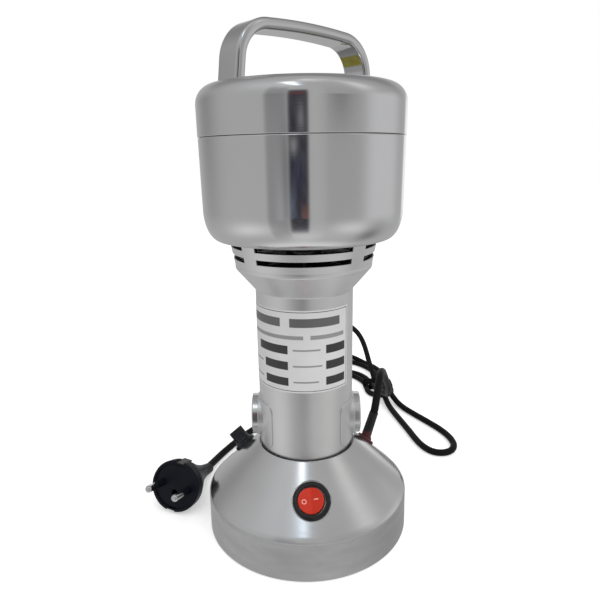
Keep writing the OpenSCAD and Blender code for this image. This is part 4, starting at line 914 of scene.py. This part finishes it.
handle_chrome = finish(
    "handle_chrome", Metallic=lambda b: 1 - tape(b) * 0.8,
    Base_Color=lambda b: b.blend(tape(b), tinted(25, 0.62, 0.68)(b),
                                 tinted(300, (0.36, 0.31, 0.03), (0.46, 0.40, 0.10))(b)),
    Roughness=speckle(40, 0.02, 0.05), relief=speckle(160, 0, 1), relief_mm=0.004)


def bar_along(line, wide, thick, corner, up):
    """A flat bar: at each point of the line, a rounded rectangle across it."""
    face = unit(np.cross(unit(np.gradient(line, axis=0)), up))
    loop = rounded_box(thick / 2, wide / 2, corner, count=6)
    return line[:, None] + loop[:, :1] * face[:, None] + loop[:, 1:] * np.array(up)


leg = np.concatenate([np.linspace((45.7, 255.42), (43.6, CROWN - 15.4), 6)[:-1],
                      arc((CROWN_HALF, CROWN - 18), 18, 8.43, 90, 20)])
across = np.linspace(CROWN_HALF, -CROWN_HALF, 33)[1:-1]
crown = np.stack([across, CROWN + 0.9 * (1 - (across / CROWN_HALF) ** 2)], axis=-1)
handle_line = np.concatenate([leg, crown, leg[::-1] * [-1, 1]])
handle = skin("lid_handle_bar", [placed(
    capped(bar_along(np.insert(handle_line, 1, 0, axis=1), 17.0, 5.5, 2.4, (0, 1, 0))),
    matrix((0, 0, 0), (HANDLE_TURN, "Z")))])
fit(handle, handle_chrome, "lid_handle", body="lid")


# ---------- plug
# An earthed two-pin plug moulded in black PVC: a round face with a shallow
# recess and a spring clip in a slot on each side, and a waisted grip that
# tapers into the cord.
plug_place = (matrix((-87.5, 4, 18.1), (253, "Z"), (90 - 17.5, "Y"), (-8, "Z"))
              @ Matrix.Diagonal((0.95, 0.95, 1, 1)))
grip = smooth_line([[3.9, 0, -50], [5.5, 0, -37], [7.56, 0, -30], [10.8, 0, -22], [15.2, 0, -12.5],
                    [16.4, 0, -9]], 0.8)[:, [0, 2]]
plug_plastic = plain("plug_plastic", (80, (0.005, 0.006, 0.010), (0.009, 0.010, 0.016)),
                     (150, 0.30, 0.46), (800, 0.03), Specular_IOR_Level=0.15)


def plug_drum():
    """The plug's drum: turned, with a flat-bottomed slot on each side for the earth clip."""
    walls = [side + np.array([-10.7, -10.4, 10.4, 10.7]) for side in (0, 180, 360)]
    az = np.unique(np.concatenate([np.linspace(0, 360, 121), *walls]))
    az = az[(az >= 0) & (az <= 360)]
    profile = np.array([*grip, [17.3, -8.0], [17.6, -7], [17.8, -3.6], [18, -0.8], [17.77, -0.24],
                        [17.2, 0], [15.8, 0], [15.8, -1.2]])
    halves = np.arange(0, len(profile) - 0.5, 0.5)
    grid = rings(np.stack([np.interp(halves, np.arange(len(profile)), column)
                           for column in profile.T], axis=-1), az)
    off = np.minimum(az % 180, 180 - az % 180)
    sunk = (off[None] < 10.5) & (grid[..., 2] > -12.9)
    flat = 15.3 / np.cos(np.radians(off))
    r = np.hypot(grid[..., 0], grid[..., 1])
    grid[..., :2] *= (np.where(sunk, np.minimum(r, flat), r) / r)[..., None]
    return placed(grid, plug_place)


face_rim, hole_rim = rings([[15.8, -1.2], [2.4, -1.2]], np.linspace(0, 360, 73))
hole_rim = hole_rim + [5, 0, 0]
hole_foot = hole_rim - [0, 0, 14]
hole_middle = hole_foot * [0, 0, 1] + [5, 0, 0]
plug = skin("plug_moulded", [
    plug_drum(), *[placed(np.stack(pair), plug_place) for pair in (
        (face_rim, hole_rim), (hole_rim, hole_foot), (hole_foot, hole_middle))],
    *turned([[0, -50], [3.9, -50]], plug_place, 60)])
fit(plug, plug_plastic, "plug_body")

PIN_APART = 20.0
PIN_SLEEVE = 9.0
CLIP_X, CLIP_LONG = 16.2, 12.0
pin_nickel = plain("pin_nickel", (120, 0.70, 0.78), (160, 0.08, 0.18), (900, 0.005), 1.0)
# The earth clips are nickel, but their colour is painted near black as shade.
clip_nickel_painted_shade = plain("clip_nickel_painted_shade", (120, 0.04, 0.07), (160, 0.25, 0.4), (900, 0.005), 1.0)


def two_pins(profile):
    """The same turned shape on both pins."""
    return [grid for y in (-PIN_APART / 2, PIN_APART / 2)
            for grid in turned(profile, plug_place @ matrix((0, y, 0)), 36)]


fit(skin("plug_pins_turned", two_pins(
    [[2.4, -4], [2.4, 16.2], *arc((1.2, 16.2), (1.2, 1.6), 0, 90)[1:], [0, 17.8]])),
    pin_nickel, "plug_pins")
fit(skin("plug_pin_sleeves", two_pins(
    [[2.47, -1.3], [2.47, PIN_SLEEVE], [2.38, PIN_SLEEVE + 0.1]])), plug_plastic)
clips = []
for x in (-CLIP_X, CLIP_X):
    at = np.array([[1, -1], [1, 1], [-1, 1], [-1, -1], [1, -1]]) * [0.5, 3.0] + [x, 0]
    foot, top = [placed(np.insert(at, 2, z, axis=1), plug_place) for z in (-CLIP_LONG, 0.0)]
    clips += [np.stack([foot, top]), np.stack([top, 0 * top + top[:4].mean(axis=0)]),
              np.stack([0 * foot + foot[:4].mean(axis=0), foot])]
fit(skin("plug_side_clips", clips), clip_nickel_painted_shade, "plug_earth_clips", slot="pin_nickel")


# ---------- cord tie
# A soft black strap is wound flat round the bundled runs of cord behind the
# neck, and its free end lies on top of it.
TIE_Y = 198.5
TIE_WIDE = 10.0
TIE_MIDDLE = np.array([72.5, 4.0])
tie_loop = np.concatenate([arc((83.2, 3.6), 3.9, -68, 68), [[78, 8.0], [73, 8.2], [67, 7.8]],
                           arc((61.6, 3.6), 3.9, 112, 248), [[66, 0.08], [78, 0.08]]])
tie_loop = np.concatenate([tie_loop, tie_loop[:1]])
tie_in = TIE_MIDDLE + (tie_loop - TIE_MIDDLE) * [0.955, 0.82]
tie_in[:, 1] = np.maximum(tie_in[:, 1], 0.5)
strap_black = plain("strap_black", (150, 0.004, 0.010), (400, 0.4, 0.6), (1400, 0.15),
                    Specular_IOR_Level=0.0)
edges = [np.insert(loop, 1, TIE_Y + way * TIE_WIDE / 2, axis=1)
         for loop, way in ((tie_loop, -1), (tie_loop, 1), (tie_in, 1), (tie_in, -1))]
strap = skin("cord_strap", [np.stack(pair) for pair in zip(edges, edges[1:] + edges[:1])])
fit(strap, strap_black, "cord_tie", slot="tie_plastic")


# ---------- pieces kept from the solid model
# Everything inside the mill, its feet and its screws keep their solids and get the metal, rubber or
# plastic that such pieces are made of; the brackets' aluminium is painted dark grey as shade.
KEPT = [
    (plain("plate_steel", (30, 0.42, 0.52), (80, 0.35, 0.5), (500, 0.02), 1.0), "base_plate"),
    (plain("feet_rubber", (90, 0.02, 0.035), (150, 0.6, 0.8), (700, 0.02)),
     "rubber_feet", "shaft_seal"),
    (plain("screw_steel", (90, 0.55, 0.66), (200, 0.2, 0.35), (900, 0.01), 1.0),
     "base_screws", "housing_screws", "bracket_screws", "bowl_screws", "handle_screws",
     "motor_shaft", "lower_bearing", "upper_bearing", "blade_spacer", "blade_washer", "blade_nut",
     "brush_spring_left", "brush_spring_right"),
    (plain("blade_steel", (60, 0.60, 0.70), (60, 0.12, 0.3, (1, 6, 1)),
           (300, 0.02, (1, 8, 1)), 1.0),
     "lower_blade", "upper_blade", "grinding_bowl", "bowl_collar", "lid_ring"),
    (plain("lamination_steel", (60, 0.22, 0.32), (100, 0.4, 0.6), (1, 0.02, (40, 40, 2500)), 1.0),
     "stator_core", "armature_core"),
    # The brackets' colour is painted dark grey as shade, so the inside seen through the vents looks
    # dark.
    (plain("bracket_aluminium", (50, 0.11, 0.17), (200, 0.5, 0.7), (500, 0.02), 1.0),
     "lower_bracket", "upper_bracket"),
    (plain("winding_copper", (90, (0.55, 0.20, 0.07), (0.70, 0.30, 0.12)), (200, 0.25, 0.4),
           (1, 0.02, (900, 900, 300)), 1.0), "stator_windings", "armature_windings", "commutator"),
    (plain("holder_brass", (70, (0.60, 0.42, 0.14), (0.68, 0.50, 0.20)), (160, 0.2, 0.36),
           (800, 0.01), 1.0), "brush_holder_left", "brush_holder_right"),
    (plain("brush_carbon", (120, 0.02, 0.05), (200, 0.5, 0.7), (900, 0.02)),
     "carbon_brush_left", "carbon_brush_right"),
    (plain("fan_nylon", (80, 0.02, 0.035), (150, 0.35, 0.55), (800, 0.02)), "cooling_fan"),
    (plain("fuse_glass", (80, 0.75, 0.85), (150, 0.1, 0.2), (300, 0.005)), "fuse_cartridge"),
    (plain("seal_silicone", (70, 0.62, 0.72), (150, 0.45, 0.6), (600, 0.02)), "lid_seal"),
]
for material, *names in KEPT:
    for name in names:
        dress(nodes[name], material)
